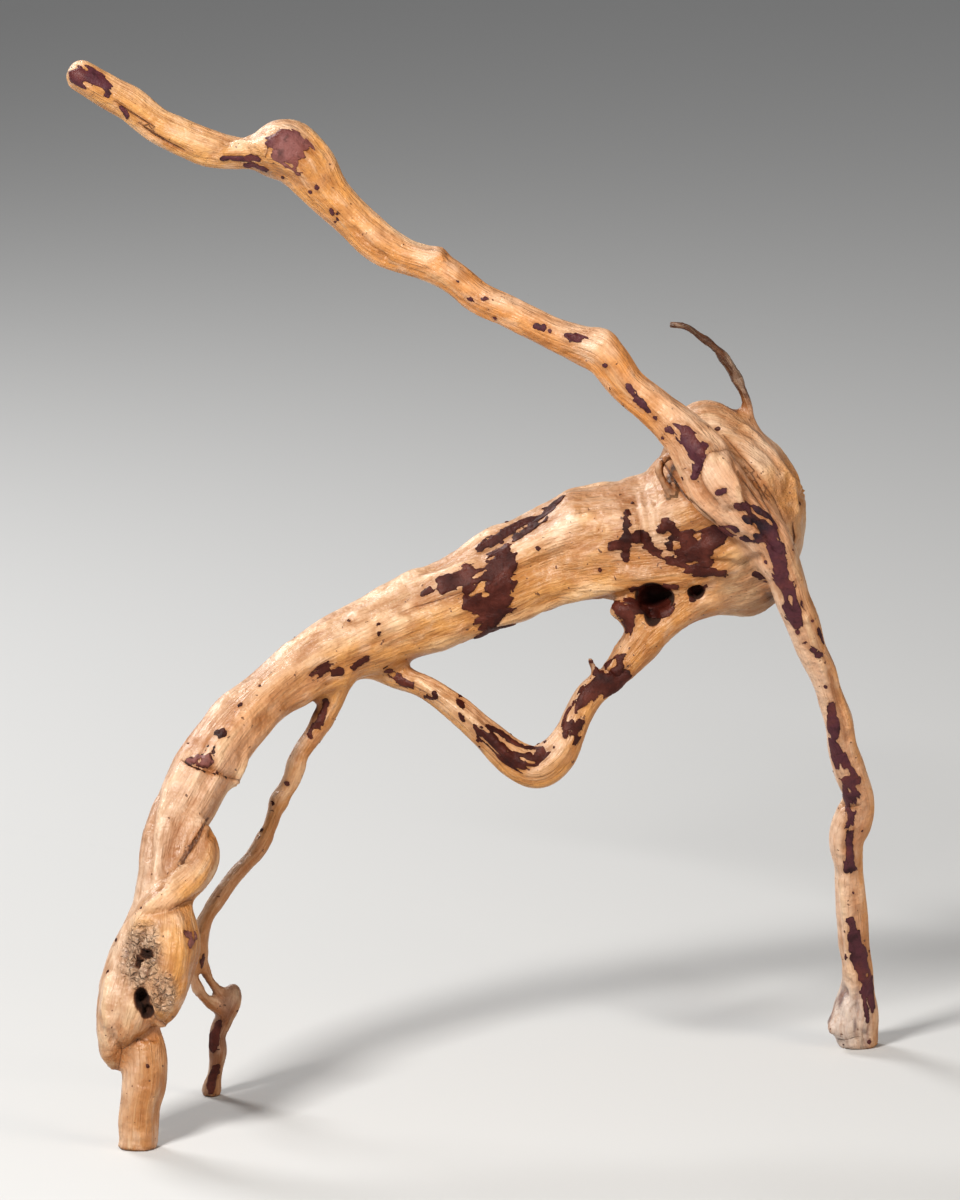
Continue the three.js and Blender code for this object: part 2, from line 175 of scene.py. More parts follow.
# Bark left on the wood, as strokes on the board: [across, up, width]. They are seen from the front.
BARK = {
    "trunk_upper_strip": [
        [39.5, 289, 3], [35, 284.5, 5], [29, 279.5, 5.5], [21, 277, 3], [15, 273.5, 4], [8, 269.5, 5],
        [0, 265, 4],
    ],
    "trunk_lower_strip": [[31, 278, 4], [24, 273.5, 4], [18, 270, 5], [13, 266, 6], [9.5, 261.5, 8.5]],
    "trunk_patch": [[9.5, 261, 12.5], [10, 254.5, 14.5], [9.5, 248, 14.5], [9.5, 241, 12]],
    "trunk_patch_right": [[14, 257, 5], [15.5, 249.5, 3.5], [14.5, 244, 3.5]],
    "trunk_patch_left": [
        [6, 249.5, 5.5], [0, 251.5, 7], [-6, 251, 9], [-12, 249.5, 8], [-18, 247, 8.5], [-23, 244.5, 6],
        [-27, 242, 3],
    ],
    "trunk_patch_belly": [[-5.5, 245, 6], [-3, 238, 9], [3, 238, 11], [9.5, 239, 8.5]],
    "trunk_patch_tail": [[1, 233, 9], [6, 233, 8], [3, 225.5, 8], [-1, 221.5, 5]],
    "trunk_patch_spur": [[8, 233, 5], [14, 234.5, 2.5], [18.5, 235, 2]],
    "trunk_patch_under": [[6, 225.5, 5.5], [14.5, 227.5, 3.5]],
    "spiky_stem": [[71, 282.5, 2], [71, 277, 3], [71, 271, 4], [70, 265, 4], [70, 259, 2.5]],
    "spiky_left": [[69.5, 267, 5], [65.5, 266, 5], [62.5, 265, 2.5]],
    "spiky_right": [[73, 270, 5.5], [78, 270, 6], [81, 266, 5], [84.5, 262, 2.5]],
    "shadowed_lobe": [[86.5, 273, 4], [90.5, 276, 5.5], [93.5, 272.5, 5.5]],
    "shadowed_patch": [
        [93.5, 266, 8.5], [100, 265, 14], [107, 266.5, 12], [112, 269.5, 9], [118, 272.5, 7],
        [121, 273.5, 5],
    ],
    "shadowed_lower": [
        [97, 259, 7], [101.5, 256, 8.5], [106, 253, 6], [111.5, 253, 3.5], [118, 251.5, 2],
    ],
    "shadowed_streak": [[107, 259, 6], [113, 255, 3.5], [117.5, 252.5, 2]],
    "shadowed_tail": [[92.5, 259, 5], [87.5, 261, 4], [83.5, 264, 2.5]],
    "mid_trunk_patch": [[-80, 203, 3.5], [-76, 206, 5], [-72, 206.5, 6], [-68.5, 205, 5]],
    "mid_trunk_dash": [[-61, 207.5, 2.5], [-58, 209.5, 2], [-54, 212, 2]],
    "mid_trunk_fleck": [[-48.5, 227, 2], [-49, 222.5, 1]],
    "low_trunk_spot": [[-125, 176.5, 4], [-123, 176, 5]],
    "low_trunk_fleck": [[-118, 188, 1], [-114.5, 189.5, 1]],
    "foot_spot": [[-139, 81, 3.5], [-136, 80, 4], [-138, 76, 3]],
    "collar_crescent": [[-139.5, 162.5, 2.5], [-134, 164, 5.5], [-129, 163, 4.5]],
    "knuckle_fleck": [[114, 291, 2.5], [117, 292, 2]],
    "leg_top": [[123, 284.5, 3], [128, 284, 5.5], [132, 282, 6], [135.5, 279, 6.5], [140.5, 275.5, 6.5]],
    "leg_top_inner": [[129.5, 278.5, 5.5], [134, 276.5, 5.5], [137.5, 272.5, 6]],
    "leg_top_left": [[135.5, 270, 5], [131, 269, 4], [127, 269, 3.5]],
    "leg_band": [
        [140, 270, 7], [142, 264, 6.5], [143.5, 258, 7], [145, 252, 6.5], [147.5, 246, 8.5],
        [150, 241, 7], [151, 234, 8], [152.5, 228, 4],
    ],
    "leg_flecks": [[156.5, 219, 2], [160, 217, 2.5], [163, 214, 3], [165, 212.5, 2]],
    "leg_side_fleck": [[163, 225.5, 1.5], [165.5, 218.5, 1]],
    "leg_middle": [[170, 189, 2.5], [170.5, 184, 4], [171, 179.5, 5.5], [171, 175, 5], [170, 171.5, 3]],
    "leg_knee": [
        [170.5, 171, 4], [173.5, 163.5, 6.5], [177.5, 156, 7], [180, 149.5, 7.5], [178.5, 141, 7],
        [179.5, 134, 4.5],
    ],
    "leg_shin": [[180, 133, 4], [179, 125, 3.5], [180, 116, 3.5], [180, 108, 4.5]],
    "leg_ankle": [
        [180.5, 83, 3.5], [183, 74, 6], [185, 66, 8.5], [188, 58, 6.5], [190.5, 49, 5], [192, 40, 4],
    ],
    "leg_heel": [[187, 50, 2], [188.5, 42, 1.6], [190, 33, 1.6]],
    "arm_tip": [
        [-192.5, 491.5, 11], [-188.5, 491, 11], [-184, 490, 9], [-181, 486.5, 6], [-179.5, 482.5, 3],
    ],
    "arm_tip_edge": [[-175, 479, 1.5], [-170.5, 474, 2], [-170, 471.5, 1]],
    "arm_bulge": [[-98, 459, 9], [-93.5, 459.5, 12], [-89, 460, 11.5], [-85, 458, 8.5]],
    "arm_bulge_low": [
        [-96.5, 453.5, 6.5], [-91, 452.5, 8.5], [-86.5, 453.5, 6.5], [-87.5, 448, 5.5],
        [-87, 444.5, 2.5],
    ],
    "arm_bulge_side": [[-81.5, 455.5, 3]],
    "arm_under_dash": [
        [-124.5, 452, 1.5], [-119, 452.5, 2.2], [-113, 451.5, 2.5], [-109, 452.5, 3], [-106, 451, 2],
    ],
    "arm_under_dash_low": [[-113, 449, 2], [-108, 448.5, 3], [-103, 446.5, 2.5]],
    "arm_fleck_a": [[-71.5, 426.5, 2], [-69, 422, 2]],
    "arm_fleck_b": [[-5.5, 384.5, 2], [-0.5, 383.5, 2.5], [3, 384, 1.5]],
    "arm_fleck_c": [[-11, 392.5, 2]],
    "arm_fleck_d": [[42, 366.5, 2], [47, 365, 3], [50.5, 365, 2]],
    "arm_fleck_e": [[26.5, 371, 1.5], [30, 369.5, 2]],
    "arm_near_crown": [[71, 342.5, 2], [74.5, 336.5, 2.5], [78, 333.5, 2.5], [81, 330, 2]],
    "crown_patch": [
        [89.5, 321, 2.5], [93.5, 322, 3.5], [98, 321, 5], [99.5, 317, 8], [101.5, 313, 9],
        [104.5, 309, 8],
    ],
    "crown_patch_tail": [[105, 307, 5], [104, 302.5, 4], [102, 298, 2]],
    "hook_start": [[-45.5, 207, 2], [-42, 204, 3.5], [-38, 201, 4], [-33.5, 199, 3]],
    "hook_dash": [[-26.5, 193, 2], [-21.5, 194, 3], [-16, 192, 2]],
    "hook_drip": [[-10, 190, 3], [-9, 186, 2.5], [-8, 182.5, 2]],
    "hook_band": [
        [-2, 180, 2.5], [2, 174.5, 7], [8, 169, 6], [13, 164, 7], [19, 162, 7], [24.5, 163, 8],
        [29, 165.5, 5.5], [32.5, 167.5, 2.5],
    ],
    "hook_band_top": [
        [3.5, 178, 3.5], [9.5, 176, 2.5], [15, 172, 2.5], [21.5, 168.5, 2.5], [29.5, 168, 3],
    ],
    "hook_rise": [[41, 174.5, 2.5], [42.5, 186, 5.5], [45.5, 182, 7], [47, 176.5, 5.5], [45.5, 171, 3]],
    "hook_upper": [
        [47, 189.5, 5.5], [51, 194, 6.5], [56.5, 198, 9.5], [60.5, 202, 11], [64, 206, 11],
        [67, 209.5, 7],
    ],
    "hook_upper_right": [[69.5, 203, 6], [66, 197.5, 5.5], [61, 194, 3]],
    "hook_thread": [[53, 210, 1], [57.5, 209.5, 1], [62.5, 209, 2]],
    "crotch": [[65, 237.5, 3.5], [68, 234.5, 7], [71, 230.5, 7], [72, 225, 3.5]],
    "crotch_hollow": [[74, 238, 9.5], [79, 237, 13], [84, 236.5, 13], [89, 235, 8.5]],
    "crotch_lip": [[75, 244, 7], [81, 246, 7], [87.5, 246, 5], [95, 246, 2]],
    "crown_under": [[132.5, 252.5, 3], [137, 249.5, 2.5]],
    "small_hollow_rim": [[101, 245.5, 2.5], [105, 244.5, 4], [109, 246, 2]],
    "small_hollow_drip": [[103.5, 243.5, 4.5], [102, 239.5, 2.5]],
    "thin_root_top": [[-74, 191, 2.5], [-75.5, 185, 2.5], [-78.5, 178, 5], [-81.5, 175, 3.5]],
    "strand_dark": [[-133, 69, 2], [-134, 62.5, 1]],
    "thin_foot_marks": [[-126, 36, 3], [-128, 31, 5], [-128.5, 25, 5], [-127, 20, 3]],
    "thin_foot_low": [[-127, 14, 3], [-129, 9, 4.5], [-130, 3, 4]],
}

# Bark on the far side, which only shows from behind.
BACK_BARK = {
    "trunk_back": [[20, 262, 6], [5, 256, 10], [-8, 250, 9], [-20, 243, 5]],
    "trunk_back_tail": [[-6, 248, 5], [-10, 238, 4], [-9, 231, 3]],
    "crown_back": [[128, 300, 5], [133, 290, 11], [130, 279, 13], [122, 270, 8], [112, 268, 4]],
    "crown_back_fleck": [[100, 300, 5], [95, 296, 3]],
    "low_trunk_back": [[-96, 200, 4], [-104, 194, 7], [-110, 187, 4]],
    "foot_back": [[-158, 98, 5], [-162, 88, 8], [-163, 80, 4]],
    "arm_back": [[10, 380, 4], [0, 385, 6], [-10, 392, 5], [-18, 398, 3]],
    "arm_back_outer": [[-120, 456, 5], [-130, 458, 6], [-138, 461, 3]],
    "leg_back": [[172, 190, 4], [175, 178, 6], [177, 165, 6], [179, 155, 4]],
    "leg_back_low": [[182, 88, 4], [183, 78, 6], [184, 66, 4]],
    "hook_back": [[0, 178, 4], [8, 170, 7], [18, 163, 8], [27, 160, 6]],
    "hook_back_rise": [[62, 203, 5], [70, 211, 8], [78, 220, 8], [86, 229, 5]],
}
# Small single flecks of bark: [across, up, width].
FLECKS = [
    [-93, 151, 1.8], [-99.5, 142, 1.6], [-105, 129, 1.6], [153, 224, 1.8], [166, 210, 1.6],
    [167, 198, 1.8], [170, 172, 2.2], [-21, 198, 1.4], [-10, 193, 1.6], [36, 169, 1.6],
    [84, 327, 1.6], [60, 352, 1.6], [-69, 425, 1.6], [-78, 438, 2.0], [7, 375, 1.8],
    [31, 371, 1.8], [43, 364, 1.6], [-146, 118, 1.6], [137, 258, 1.4], [150, 246, 1.6],
]
SCATTERED_FLECKS = 90
FLECK_RADII = (0.4, 0.95)
FLECK_SEED = 7

# Broad dips and swells along the wood, seen from the front.
DIPS = {
    "trunk_hollow": [[18, 253, 5], [32, 259, 8], [46, 265, 8], [57, 270, 5]],
    "trunk_low_hollow": [[-36, 233, 4], [-22, 239, 7], [-8, 241, 6]],
    "low_trunk_front": [[-128, 158, 5], [-141, 138, 7], [-149, 116, 7], [-151, 103, 5]],
    "low_trunk_left": [[-150, 160, 4], [-156, 140, 6], [-157, 118, 5]],
    "shoulder_seam": [[-126, 132, 3], [-132, 122, 5], [-140, 116, 5], [-148, 112, 3]],
    "bulge_seam": [[-133, 100, 3], [-140, 95, 5], [-150, 92, 5], [-160, 91, 4]],
    "heel_seam": [[-176, 34, 4], [-170, 22, 5], [-162, 30, 4], [-155, 36, 3]],
    "leg_top_hollow": [[120, 282, 5], [128, 281, 8], [135, 276, 6]],
    "knuckle_right": [[122, 303, 3], [126, 296, 4], [128, 288, 4], [132, 282, 3]],
    "arm_wrinkle": [[-129, 453, 3], [-125, 457, 4], [-120, 460.5, 4], [-114, 463, 3]],
    "foot_band": [[179, 48, 3], [182, 40, 4], [186, 32, 4], [189, 25, 3]],
    "arm_waist": [[-60, 417, 4], [-52, 409, 5], [-46, 404, 4]],
    "crown_low": [[112, 258, 4], [124, 256, 6], [134, 260, 5]],
    "hook_elbow": [[22, 158, 3], [28, 161, 5], [33, 168, 4]],
    "leg_side": [[169, 205, 3], [174, 190, 4], [178, 172, 3]],
    "leg_knee": [[176, 140, 4], [179, 128, 5], [178, 118, 4]],
}
SWELLS = {
    "trunk_spine": [[14, 264, 5], [30, 270, 7], [44, 277, 7], [52, 280, 5]],
    "trunk_belly": [[6, 228, 5], [30, 236, 8], [54, 243, 8], [68, 246, 5]],
    "trunk_shoulder": [[-60, 232, 6], [-40, 243, 9], [-20, 252, 9], [-4, 257, 6]],
    "low_trunk_ridge": [[-141, 166, 5], [-149, 148, 7], [-154, 128, 7], [-154, 108, 5]],
    "knuckle_turn": [[106, 310, 5], [116, 306, 7], [122, 297, 6], [124, 288, 4]],
    "crown_rim": [[128, 322, 4], [141, 310, 5], [150, 297, 5], [152, 283, 4]],
    "arm_cord": [[-120, 460, 3], [-108, 459, 5], [-99, 460, 5]],
    "hook_cord": [[-30, 201, 3], [-14, 190, 4], [2, 177, 4], [14, 165, 3]],
    "leg_cord": [[156, 232, 3], [162, 214, 4], [168, 200, 3]],
    "leg_shin_cord": [[176, 102, 3], [178, 88, 4], [180, 70, 4], [181, 56, 3]],
    "foot_cord": [[-176, 60, 5], [-178, 46, 7], [-176, 34, 5]],
}
# Small knots: [across, up, width], each a low ring with a dark eye.
KNOTS = [
    [58, 274, 7], [46, 280, 5], [27, 262, 5], [-30, 246, 5], [-147, 105, 5], [-69, 427, 4],
    [-11, 391, 5], [43, 366, 5], [104, 300, 5], [112, 323, 6], [-103, 463, 4], [-17, 402, 4],
    [165, 216, 4], [-93, 149, 4], [-24, 198, 4],
]
# Folds, where the wood on a stroke's left lies over the wood on its right.
FOLDS = {
    "shoulder_over_trunk": [
        [-143, 114, 7], [-149, 107, 9], [-154, 100, 9], [-161, 94, 8], [-168, 87, 6],
    ],
    "shoulder_over_bulge": [[-147, 93, 3], [-140, 96, 4], [-134, 97, 4]],
    "trunk_over_shoulder": [[-143.5, 115.5, 4], [-139, 122, 6], [-134, 129, 6], [-130.5, 134, 4]],
    "foot_over_heel": [[-155, 30, 5], [-163, 30, 7], [-170, 25, 7], [-172, 17, 5]],
    "lobe_edge": [[-150, 38, 4], [-154, 40, 5], [-156, 45, 5], [-157, 51, 3]],
    "collar": [[-112, 152, 3], [-121, 155, 5], [-128, 158, 6], [-135, 159.5, 5], [-141, 162, 3]],
    "knuckle_hood": [[110, 310, 4], [105.5, 304.5, 6], [106, 297, 7], [109.5, 291, 6], [114, 286, 4]],
    "knuckle_top": [[126, 308, 3], [118, 312, 4], [110, 310, 3]],
    "leg_over_crown": [[141, 262, 5], [136, 270, 6], [131, 276, 5]],
    "hook_over_hook": [[57, 209, 3], [66, 203, 5], [72, 208, 4]],
    "knee": [[183, 139.5, 3], [179, 138.5, 4], [175, 141, 3]],
    "foot_tuck": [[176, 24.5, 1.5], [180, 24, 2], [185, 25, 1.5]],
    "arm_swelling": [[-97, 465, 2], [-101, 460, 3.5], [-103, 453, 3]],
}
SEAM = 0.35  # half the width of the groove in a fold
# Places where the bare skin of the wood is palest, and at trunk_shine a painted highlight.
PALE = {
    "trunk_drip": [[79, 293, 9], [82, 286, 10], [83, 278, 8], [84, 270, 6], [87, 264, 5], [91, 261, 4]],
    "trunk_shine": [[36, 284, 7], [43, 277, 9], [35, 269, 6]],
    "sliver": [[-157.5, 52, 2.6], [-156.6, 48.5, 2], [-156, 45, 1]],
    "knuckle": [
        [106, 305, 8], [111, 299, 10], [115, 293, 9], [118, 287, 8], [121, 279, 6], [126, 271, 5],
        [131, 261, 4], [136, 250, 3],
    ],
    "leg_top": [[143, 283, 4], [147, 276, 5]],
    "crown_top": [[100, 325, 5], [108, 326, 6], [115, 322, 4]],
    "foot_crumbs": [[-150, 56, 5], [-147, 52, 5], [-151, 48, 4]],
    "arm_swelling": [[-104, 461, 3], [-97, 466, 5], [-90, 467, 5], [-84, 463, 3]],
    "arm_elbow": [[60, 365, 4], [64, 358, 4]],
    "arm_middle": [[-150, 466, 4], [-138, 462, 5], [-128, 458, 5]],
    "leg_foot": [[182, 54, 6], [181, 45, 8], [177, 37, 9], [182, 28, 10]],
    "hook_elbow": [[24, 156, 5], [32, 160, 5], [38, 170, 4]],
}
# Open slits and pits, each lined with a thin near-black sheet as painted shade.
SLITS = {
    "crown_pit": [[113.5, 322, 2], [114.5, 322, 2]],
    "collar": [
        [-140.5, 162, 1], [-134.5, 159.5, 1.8], [-128.5, 158.5, 1.8], [-124.5, 157.5, 1.6],
        [-121, 155, 1],
    ],
    "collar_upper": [[-130, 170.5, 0.8], [-132, 167, 1.1], [-134, 164, 0.8]],
    "collar_upper_right": [[-127, 170, 0.8], [-127.5, 165, 1.1], [-128.5, 160, 0.8]],
}
# Drying cracks, cut into the wood, and drawn dark with painted shade.
CRACKS = {
    "arm_over_trunk": [[86, 309, 1.2], [92, 299, 1.6], [98, 290, 1.6], [105, 283, 1.2], [112, 277, 1]],
    "trunk_low_streak": [[-30, 237, 0.7], [-20, 240, 1], [-10, 243, 0.7]],
    "crown_knob": [[151, 275, 1], [152, 270, 1.8], [151, 266, 1]],
    "crown_arc": [[118, 318, 0.7], [132, 302, 1], [142, 288, 1], [147, 276, 0.7]],
    "crown_arc_inner": [[120, 310, 0.7], [131, 297, 1], [139, 283, 0.9], [143, 272, 0.6]],
    "arm_tip": [[-175, 479, 1], [-168, 474, 1.6], [-158, 468, 1.2]],
    "shoulder_slit": [
        [-130.5, 134, 1.6], [-134, 129, 3], [-139, 122, 2.4], [-143, 115.5, 1.4], [-147, 110, 0.8],
    ],
    "knuckle_groove": [[129, 303.5, 0.8], [134, 295, 1.3], [139, 287, 0.9]],
    "knuckle_groove_inner": [[125, 300, 0.7], [131, 291, 1.2], [136, 284, 0.8]],
    "arm_scar": [[-165, 469.5, 0.9], [-158, 464, 1.8], [-150, 459, 1.8], [-143, 456, 1]],
}


def on_board(rows):
    """Board coordinates [across, up, depth] to the row frame, still in millimetres."""
    rows = np.atleast_2d(np.asarray(rows, float))
    across, up, depth = rows[:, 0], rows[:, 1], rows[:, 2]
    z = (up - depth * math.sin(BOARD_LEAN)) / math.cos(BOARD_LEAN)
    return np.stack([across, depth, z], 1)


# ------------------------------------------------------------------ noise

FAR = 99.0  # stands for the distance of everything farther away

# Whole numbers that scramble a cell's place into a value that looks random.
CELL_STEPS = np.array([73856093, 19349663, 83492791])
SEED_STEP = 7919
SCRAMBLES = ((13, 1274126177), (15, 2246822519))
CENTRE_SPREAD = 0.42  # how far a cell's centre may stray from its middle, as a share of the cell


def cell_value(cells, seed):
    """A fixed random number from -1 to 1 for each whole-numbered cell."""
    mixed = (cells * CELL_STEPS).sum(-1) + seed * SEED_STEP
    for shift, factor in SCRAMBLES:
        mixed = (mixed ^ (mixed >> shift)) * factor & 0xFFFFFFFF
    mixed = mixed ^ (mixed >> 16)
    return (mixed & 0xFFFF) / 32767.5 - 1


def noise(points, seed=0):
    """Smooth noise from -1 to 1 with features about one unit across."""
    base = np.floor(points).astype(np.int64)
    part = points - base
    part = part * part * (3 - 2 * part)
    total = np.zeros(len(points))
    for corner in np.ndindex(2, 2, 2):
        corner = np.array(corner)
        share = np.where(corner == 1, part, 1 - part).prod(-1)
        total += share * cell_value(base + corner, seed)
    return total


def cell_borders(points, seed):
    """Each point's two nearest scattered centres, and how far it is from the border between them."""
    base = np.floor(points).astype(np.int64)
    nearest = np.full(len(points), FAR)
    second = nearest.copy()
    first_at, second_at = np.zeros_like(points), np.zeros_like(points)
    for step in np.ndindex(3, 3, 3):
        cell = base + np.array(step) - 1
        offset = np.stack([cell_value(cell, seed + k) for k in range(3)], 1)
        centre = cell + 0.5 + CENTRE_SPREAD * offset
        gap = np.linalg.norm(points - centre, axis=1)
        closer, between = gap < nearest, (gap >= nearest) & (gap < second)
        second_at[closer], second[closer] = first_at[closer], nearest[closer]
        first_at[closer], nearest[closer] = centre[closer], gap[closer]
        second_at[between], second[between] = centre[between], gap[between]
    return first_at, second_at, second - nearest


def layered(points, layers, seed=0):
    """Noise with finer layers added, each half as strong and twice as fine."""
    total = np.zeros(len(points))
    for layer in range(layers):
        total += noise(points * 2**layer, seed + layer) * 0.5**layer
    return total


def smoothstep(low, high, value):
    """Eases from 0 to 1 as a value goes from low to high."""
    part = np.clip((value - low) / (high - low), 0, 1)
    return part * part * (3 - 2 * part)


# ------------------------------------------------------------------ centre lines

SAMPLES_PER_SPAN = 8
REACH = 10.0  # how far from a limb its distances are worked out
BLOCK = 20000  # how many points are handled at a time


def in_box(points, others, pad):
    """Which points lie in the box round some others, widened by a pad."""
    return np.flatnonzero(((points > others.min(0) - pad) & (points < others.max(0) + pad)).all(1))


def cubic_through(values, spans, part):
    """Uniform Catmull-Rom through single values, for widths."""
    padded = np.concatenate([[2 * values[0] - values[1]], values, [2 * values[-1] - values[-2]]])
    a, b, c, d = (padded[spans + k] for k in range(4))
    slope, bend, twist = c - a, 2 * a - 5 * b + 4 * c - d, 3 * b - 3 * c + d - a
    return 0.5 * (2 * b + slope * part + bend * part**2 + twist * part**3)


def centripetal_through(points, spans, part):
    """Centripetal Catmull-Rom through points, the curve that the solid's centre lines follow."""
    padded = np.concatenate([[2 * points[0] - points[1]], points, [2 * points[-1] - points[-2]]])
    a, b, c, d = (padded[spans + k] for k in range(4))
    pairs = ((a, b), (b, c), (c, d))
    ab, bc, cd = (np.sqrt(np.linalg.norm(q - p, axis=1, keepdims=True)) for p, q in pairs)
    start = ((b - a) / ab - (c - a) / (ab + bc) + (c - b) / bc) * bc
    end = ((c - b) / bc - (d - b) / (bc + cd) + (d - c) / cd) * bc
    t = part[:, None]
    return (
        b
        + start * t
        + (3 * (c - b) - 2 * start - end) * t**2
        + (2 * (b - c) + start + end) * t**3
    )


def swept_round_crown(rows, points):
    """Replaces the place across and along a limb by arcs about the crown's middle."""
    away = points - on_board(CROWN_MIDDLE)[0]
    ring = np.hypot(away[:, 0], away[:, 2])
    turn = np.arctan2(away[:, 2], away[:, 0])
    rows[:, 1:4] = np.stack([away[:, 1], ring, CROWN_ARC * turn], 1)
    return rows


class Limb:
    """A limb's centre line: points, radii, length so far, and a frame that doesn't spin round it."""

    def __init__(self, name, stations, group, melt):
        self.name, self.group, self.melt = name, group, melt
        stations = np.array(stations, float)
        count = (len(stations) - 1) * SAMPLES_PER_SPAN + 1
        place = np.arange(count) / SAMPLES_PER_SPAN
        spans = np.minimum(place.astype(int), len(stations) - 2)
        part = place - spans
        self.points = centripetal_through(on_board(stations), spans, part)
        self.radii = cubic_through(stations[:, 3], spans, part) / 2
        steps = np.diff(self.points, axis=0)
        self.along = np.concatenate([[0], np.cumsum(np.linalg.norm(steps, axis=1))])
        ahead = np.gradient(self.points, axis=0)
        self.ahead = ahead / np.linalg.norm(ahead, axis=1, keepdims=True)
        self.side, self.over = self.frames()

    def frames(self):
        """Two directions square to the line, each carried on from the point before."""
        side = np.zeros_like(self.points)
        first = np.cross(self.ahead[0], [0, 0, 1.0])
        side[0] = first / np.linalg.norm(first)
        for i in range(1, len(side)):
            carried = side[i - 1] - self.ahead[i] * (side[i - 1] @ self.ahead[i])
            side[i] = carried / np.linalg.norm(carried)
        return side, np.cross(self.ahead, side)

    def coordinates(self, points):
        """Rows: distance to the surface, place across the limb (two numbers), along it, and radius."""
        out = np.zeros((len(points), 5))
        out[:, 0] = FAR
        near = in_box(points, self.points, self.radii.max() + REACH)
        for rows in np.array_split(near, len(near) // BLOCK + 1):
            block = points[rows]
            gaps = np.linalg.norm(block[:, None] - self.points[None], axis=2)
            nearest = np.argmin(gaps - self.radii[None], axis=1)
            away = block - self.points[nearest]
            slide = np.einsum("ij,ij->i", away, self.ahead[nearest])
            out[rows] = np.stack(
                [
                    gaps[np.arange(len(block)), nearest] - self.radii[nearest],
                    np.einsum("ij,ij->i", away, self.side[nearest]),
                    np.einsum("ij,ij->i", away, self.over[nearest]),
                    self.along[nearest] + slide,
                    self.radii[nearest],
                ],
                1,
            )
        return swept_round_crown(out, points) if self.name == "crown" else out


# ------------------------------------------------------------------ the field of distances

VOXEL = 1.5  # the grid's spacing
FIELD_PAD = 8  # how far the grid goes past the limbs


def grid_length(x, y, z):
    """Lengths on a grid, from the squared parts along its three axes."""
    return np.sqrt(x[:, None, None] + y[None, :, None] + z[None, None, :])


class Field:
    """Distances to the wood on a regular grid: below 0 inside, and at most REACH outside."""

    def __init__(self, low, high):
        self.low = np.floor(low / VOXEL) * VOXEL
        self.shape = np.ceil((high - self.low) / VOXEL).astype(int) + 1
        self.values = np.full(self.shape, REACH, np.float32)

    def window(self, low, high):
        """The grid's slices that cover a box, and the coordinates along each axis."""
        first = np.maximum(np.floor((low - self.low) / VOXEL).astype(int), 0)
        last = np.minimum(np.ceil((high - self.low) / VOXEL).astype(int) + 1, self.shape)
        slices = tuple(slice(a, b) for a, b in zip(first, last))
        axes = [self.low[k] + VOXEL * np.arange(first[k], last[k]) for k in range(3)]
        return slices, axes

    def limb(self, limb):
        """Melts in a limb, as a row of balls along its centre line."""
        pad = limb.radii.max() + REACH
        slices, _ = self.window(limb.points.min(0) - pad, limb.points.max(0) + pad)
        own = np.full(self.values[slices].shape, REACH, np.float32)
        corner = np.array([s.start for s in slices])
        for point, radius in zip(limb.points, limb.radii):
            inner, axes = self.window(point - radius - REACH, point + radius + REACH)
            local = tuple(slice(s.start - c, s.stop - c) for s, c in zip(inner, corner))
            x, y, z = (((axis - p) ** 2).astype(np.float32) for axis, p in zip(axes, point))
            ball = grid_length(x, y, z) - np.float32(radius)
            np.minimum(own[local], ball, out=own[local])
        self.values[slices] = melted(self.values[slices], own, limb.melt)

    def lump(self, at, half, melt, hollow=False):
        """Melts in an egg-shaped lump, or takes one away."""
        centre = on_board(at)[0]
        half = np.array(half, float)
        slices, axes = self.window(centre - half - REACH, centre + half + REACH)
        x, y, z = (((axis - c) / h) ** 2 for axis, c, h in zip(axes, centre, half))
        share = grid_length(x, y, z)
        x, y, z = (((axis - c) / h**2) ** 2 for axis, c, h in zip(axes, centre, half))
        own = (share * (share - 1) / np.maximum(grid_length(x, y, z), 1e-6)).astype(np.float32)
        if hollow:
            self.values[slices] = -melted(-self.values[slices], own, melt)
        else:
            self.values[slices] = melted(self.values[slices], np.minimum(own, REACH), melt)

    def at(self, points):
        """Distances read between the grid's points."""
        place = (points - self.low) / VOXEL
        base = np.clip(place.astype(int), 0, self.shape - 2)
        part = np.clip(place - base, 0, 1)
        total = np.zeros(len(points))
        for corner in np.ndindex(2, 2, 2):
            share = np.where(np.array(corner) == 1, part, 1 - part).prod(-1)
            total += share * self.values[tuple((base + corner).T)]
        return total

    def mesh(self):
        """The surface as points and quads."""
        grid = openvdb.FloatGrid(background=REACH)
        grid.copyFromArray(self.values)
        points, _, quads = grid.convertToPolygons(isovalue=0.0, adaptivity=0.0)
        return points * VOXEL + self.low, quads


def melted(a, b, melt):
    """The nearer of two distances, with the corner between them filled in."""
    blend = np.maximum(melt - np.abs(a - b), 0) / melt
    return np.minimum(a, b) - blend * blend * melt / 4


def grow_field(limbs):
    """The field of all the limbs, lumps and hollows, cut off flat at the floor."""
    low = np.min([(limb.points - limb.radii[:, None]).min(0) for limb in limbs], axis=0) - FIELD_PAD
    high = np.max([(limb.points + limb.radii[:, None]).max(0) for limb in limbs], axis=0) + FIELD_PAD
    field = Field(low, high)
    for limb in limbs:
        field.limb(limb)
    for at, half, melt in LUMPS.values():
        field.lump(at, half, melt)
    for at, half, melt in HOLLOWS.values():
        field.lump(at, half, melt, hollow=True)
    floor = field.low[2] + VOXEL * np.arange(field.shape[2])
    field.values = np.maximum(field.values, -floor[None, None, :].astype(np.float32))
    return field


# ------------------------------------------------------------------ relief along the limbs

